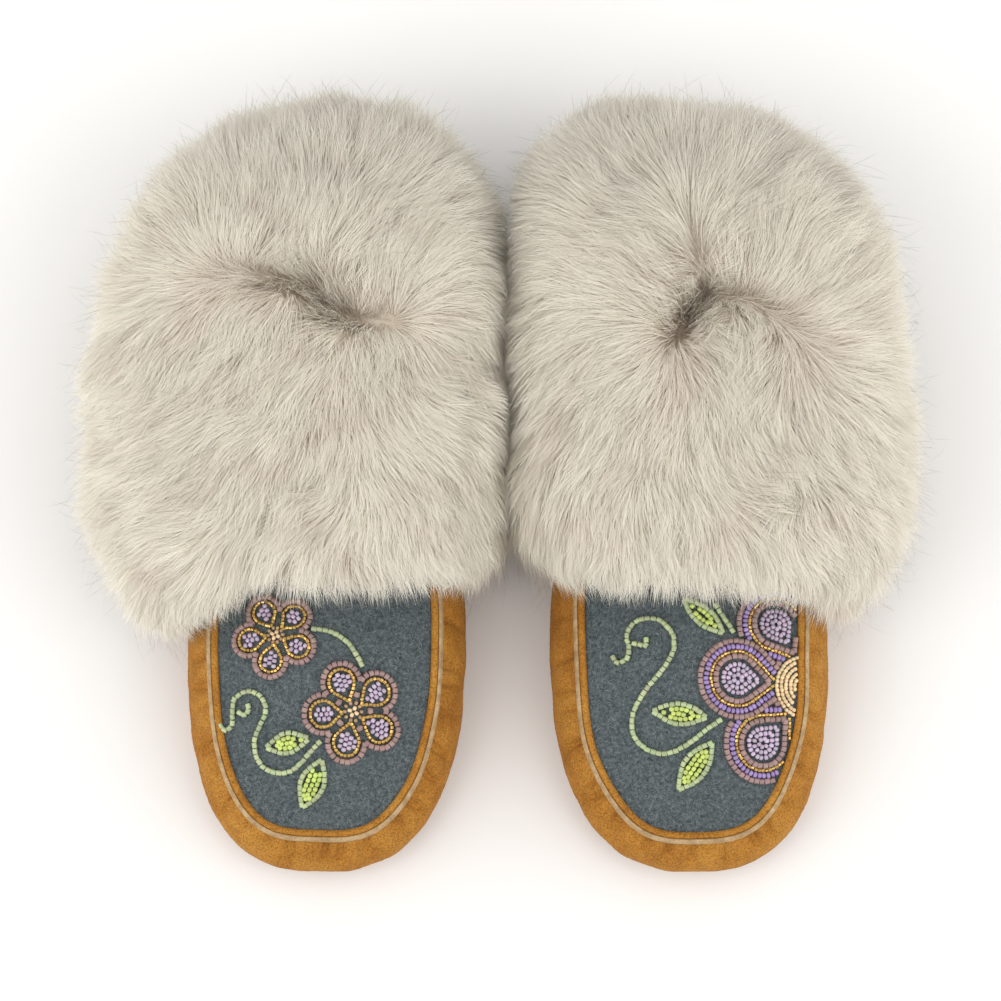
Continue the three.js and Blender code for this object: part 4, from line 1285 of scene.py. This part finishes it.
def growFur(sideName, grid, flows, count, long, wide, segments, seed, guard=False):
    # each strand follows the flow with its lock, stands up at the parting and is shorter at the hem
    dice = np.random.default_rng(seed)
    side = sides[sideName]
    flowDir, outDir, parting, turned = flows
    atHem = smooth((np.linspace(0, 1, len(grid)) - 0.72) / 0.16)[:, None]
    # the dark guard hair gathers more thickly at the hem: these are real dark hairs, and their extra share
    # there is partly painted shade
    i, j = scatter(grid, True, count, dice, 1 + hair["guardAtHem" if guard else "atHem"] * atHem)
    over = i / (grid.shape[0] - 1)
    root, flow = sample(grid, i, j), unit(sample(flowDir, i, j))
    out = unit(sample(outDir, i, j))
    far, cowlick = sample(parting, i, j)[:, 0], sample(turned, i, j)[:, 0]
    across = np.cross(out, flow)
    swirl = hair["swirl"] * makeWobble(201 + side, hair["swirlLong"])(root)
    swirl = swirl + hair["curl"] * makeWobble(205 + side, hair["curlLong"])(root)
    bendy = np.stack([makeWobble(211 + k, 9)(root) for k in range(3)], -1)
    cell = np.floor((root + 2.4 * bendy) / hair["clump"])
    _, lock = np.unique(cell.astype(int), axis=0, return_inverse=True)
    lock = lock.ravel()
    locks = lock.max() + 1
    turn = swirl + cowlick + dice.normal(0, hair["lockTurn"], locks)[lock]
    turn = turn + dice.normal(0, hair["guardTurn" if guard else "turn"], count)
    flow = flow * np.cos(turn)[:, None] + across * np.sin(turn)[:, None]
    nearPart = np.exp(-((far / hair["partWide"]) ** 2))
    lift0 = hair["liftRoot"] + (hair["partLift"] - hair["liftRoot"]) * nearPart
    lift1 = hair["liftTip"] + (hair["partLiftTip"] - hair["liftTip"]) * nearPart
    if guard:
        lift0, lift1 = lift0 + hair["guardLift"], lift1 + hair["guardTipLift"]
    lift0 = lift0 + dice.normal(0, hair["lift"], count) + dice.normal(0, hair["lockLift"], locks)[lock]
    lift0, lift1 = np.radians(lift0), np.radians(lift1 + dice.normal(0, hair["tipLift"], count))
    first = flow * np.cos(lift0)[:, None] + out * np.sin(lift0)[:, None]
    last = flow * np.cos(lift1)[:, None] + out * np.sin(lift1)[:, None]
    hem = smooth((over - 0.8) / 0.15)
    length = long * dice.uniform(0.5, 1.2, count) * (1 - 0.3 * nearPart)
    length *= 1 - hem * dice.uniform(-0.4, 0.7, count)
    size = np.bincount(lock, minlength=locks)[:, None]
    tipHere = root + length[:, None] * (first + last) / 2
    lockTip = np.stack([np.bincount(lock, tipHere[:, k], locks) for k in range(3)], -1)
    lockTip = lockTip / np.maximum(size, 1)
    bend = (lockTip[lock] - tipHere) * (hair["clumpPull"] * dice.uniform(0.3, 1.3, count))[:, None]
    if guard:
        bend = bend * 0.3 + across * (dice.normal(0, hair["guardBend"], count))[:, None]
    roll = dice.normal(0, 0.35, count)
    wide = np.full(count, wide)
    points, faces, along = ribbons(root, first, last, length, wide, out, segments, roll, bend)
    points = keepClear(sideName, points)
    colours = hairColours(sideName, dice, root, far, hem, lock, along, guard)
    # the hair is lit as the cuff's own surface is, only a little ruffled
    normal = unit(out * 0.85 + [0, 0, 0.25] + dice.normal(0, 0.04, (count, 3)))
    normals = np.repeat(normal[:, None], len(along), 1)
    return points, faces, colours, normals, j


def pickStrands(points, faceSets, keep):
    # the faces of the strands that keep marks, counted afresh
    per = np.flatnonzero(keep)
    each = [f.reshape(len(points), -1, f.shape[1])[0] for f in faceSets]
    shift = (np.arange(len(per)) * points.shape[1])[:, None, None]
    return per, [(f[None] + shift).reshape(-1, f.shape[1]) for f in each]


def setNormals(piece, normals, side):
    # lights each strand as the cuff's surface, which a thin strand can't show
    flat = normals.reshape(-1, 3) * [side, 1, 1]
    layer = piece.data.attributes.new("custom_normal", "FLOAT_VECTOR", "POINT")
    layer.data.foreach_set("vector", flat.astype(np.float32).ravel())
    piece.data.update()


def makeCuff(sideName):
    # the pelt's two halves, the hair in four sectors, and the long guard hair
    side = sides[sideName]
    grid = cuffGrid(sideName)
    flows = hairFlow(sideName, grid)
    thin = grid[::2, ::2]
    columns = np.arange(thin.shape[1])
    quarter = thin.shape[1] // 4
    halves = {
        "PeltFront": (np.concatenate([columns[3 * quarter:], columns[: quarter + 1]]), "fur_front"),
        "PeltBack": (columns[quarter: 3 * quarter + 1], "fur_back"),
    }
    for name, (picked, node) in halves.items():
        part = thin[:, picked]
        faces = [gridFaces(*part.shape[:2], wrap=False)[:, ::-1]]
        piece = addPiece(sideName, name, part, faces, pelt, [node], weld=True)
        thicken(piece, cuff["thick"])
    points, faces, colours, normals, j = growFur(
        sideName, grid, flows, hair["count"], hair["long"], hair["wide"], hair["segments"], 301 + side)
    sector = np.floor((j / grid.shape[1] * 4 + 0.5) % 4).astype(int)
    for k, name in enumerate(sectorNames):
        picked, partFaces = pickStrands(points, faces, sector == k)
        tones = colours[picked].reshape(-1, 3)
        piece = addPiece(sideName, name, points[picked], partFaces, furPile, colours=tones)
        setNormals(piece, normals[picked], side)
    points, faces, colours, normals, _ = growFur(
        sideName, grid, flows, hair["guardCount"], hair["guardLong"], hair["guardWide"],
        hair["guardSegments"], 311 + side, guard=True)
    piece = addPiece(sideName, "GuardHair", points, faces, furPile, colours=colours.reshape(-1, 3))
    setNormals(piece, normals, side)


for sideName in sides:
    makeSlabs(sideName)
    makeShell(sideName)
    makeVamp(sideName)
    makeWelt(sideName)
    makeBand(sideName)
    makeHeelTab(sideName)
    sewGreens(sideName)
    print(sideName, "shoe made")
    makeCuff(sideName)
    print(sideName, "fur grown")
for number, (name, plan) in enumerate(flowers.items()):
    sewFlower(name, plan, 120 + 2 * number)
sewBlossom()
print("beads sewn")

# floor, light and camera
studio = {
    "floorSize": 6.0, "floorColour": (0.92, 0.917, 0.913), "worldStrength": 0.91,
    "lens": 185.0, "distance": 1.8, "elevation": 78.0, "aim": (-0.0026, -0.007, 0.04),
    "lampAim": (0, 0, 0.03), "keyColour": (1.0, 0.988, 0.968), "sideColour": (1.0, 0.99, 0.975),
    # side, power of the key lamp, power of the low lamp
    "lamps": ((-1, 6.5, 3.0), (1, 5.0, 3.0)),
}


def makeFloor():
    # one plain square under the slippers
    half = studio["floorSize"] / 2
    corners = np.array([[-half, -half, 0], [half, -half, 0], [half, half, 0], [-half, half, 0]])
    floor = makeObject("floor", corners, [np.array([[0, 1, 2, 3]])])
    material, _, _, shader = newMaterial("floorPaint", 0.95)
    shader.inputs["Base Color"].default_value = (*studio["floorColour"], 1)
    floor.data.materials.append(material)


def addLamp(name, place, aim, size, power, colour):
    # a round soft lamp that faces the aim
    lamp = bpy.data.lights.new(name, "AREA")
    lamp.shape = "DISK"
    lamp.size, lamp.energy, lamp.color = size, power, colour
    holder = bpy.data.objects.new(name, lamp)
    holder.location = place
    holder.rotation_euler = (Vector(aim) - Vector(place)).to_track_quat("-Z", "Y").to_euler()
    bpy.context.scene.collection.objects.link(holder)


def makeStudio():
    # the same soft light from both sides, and the camera above the toes
    makeFloor()
    world = bpy.data.worlds.new("studioAir")
    bpy.context.scene.world = world
    world.use_nodes = True
    air = world.node_tree.nodes["Background"]
    air.inputs["Color"].default_value = (1.0, 0.99, 0.975, 1)
    air.inputs["Strength"].default_value = studio["worldStrength"]
    aim = studio["lampAim"]
    for side, high, low in studio["lamps"]:
        addLamp(f"softKey{side + 2}", (side * 1.05, -0.6, 1.45), aim, 1.2, high, studio["keyColour"])
        addLamp(f"softSide{side + 2}", (side * 1.45, 0.1, 0.8), aim, 1.3, low, studio["sideColour"])
    bpy.context.scene.view_settings.view_transform = "Standard"
    lens = bpy.data.cameras.new("camera")
    lens.lens, lens.sensor_width = studio["lens"], 36.0
    lens.clip_start, lens.clip_end = 0.05, 50.0
    camera = bpy.data.objects.new("camera", lens)
    tall = np.radians(studio["elevation"])
    back = Vector((0, -np.cos(tall), np.sin(tall)))
    camera.location = Vector(studio["aim"]) + back * studio["distance"]
    camera.rotation_euler = (-back).to_track_quat("-Z", "Y").to_euler()
    bpy.context.scene.collection.objects.link(camera)
    bpy.context.scene.camera = camera


makeStudio()
print("studio set")
bpy.context.view_layer.update()
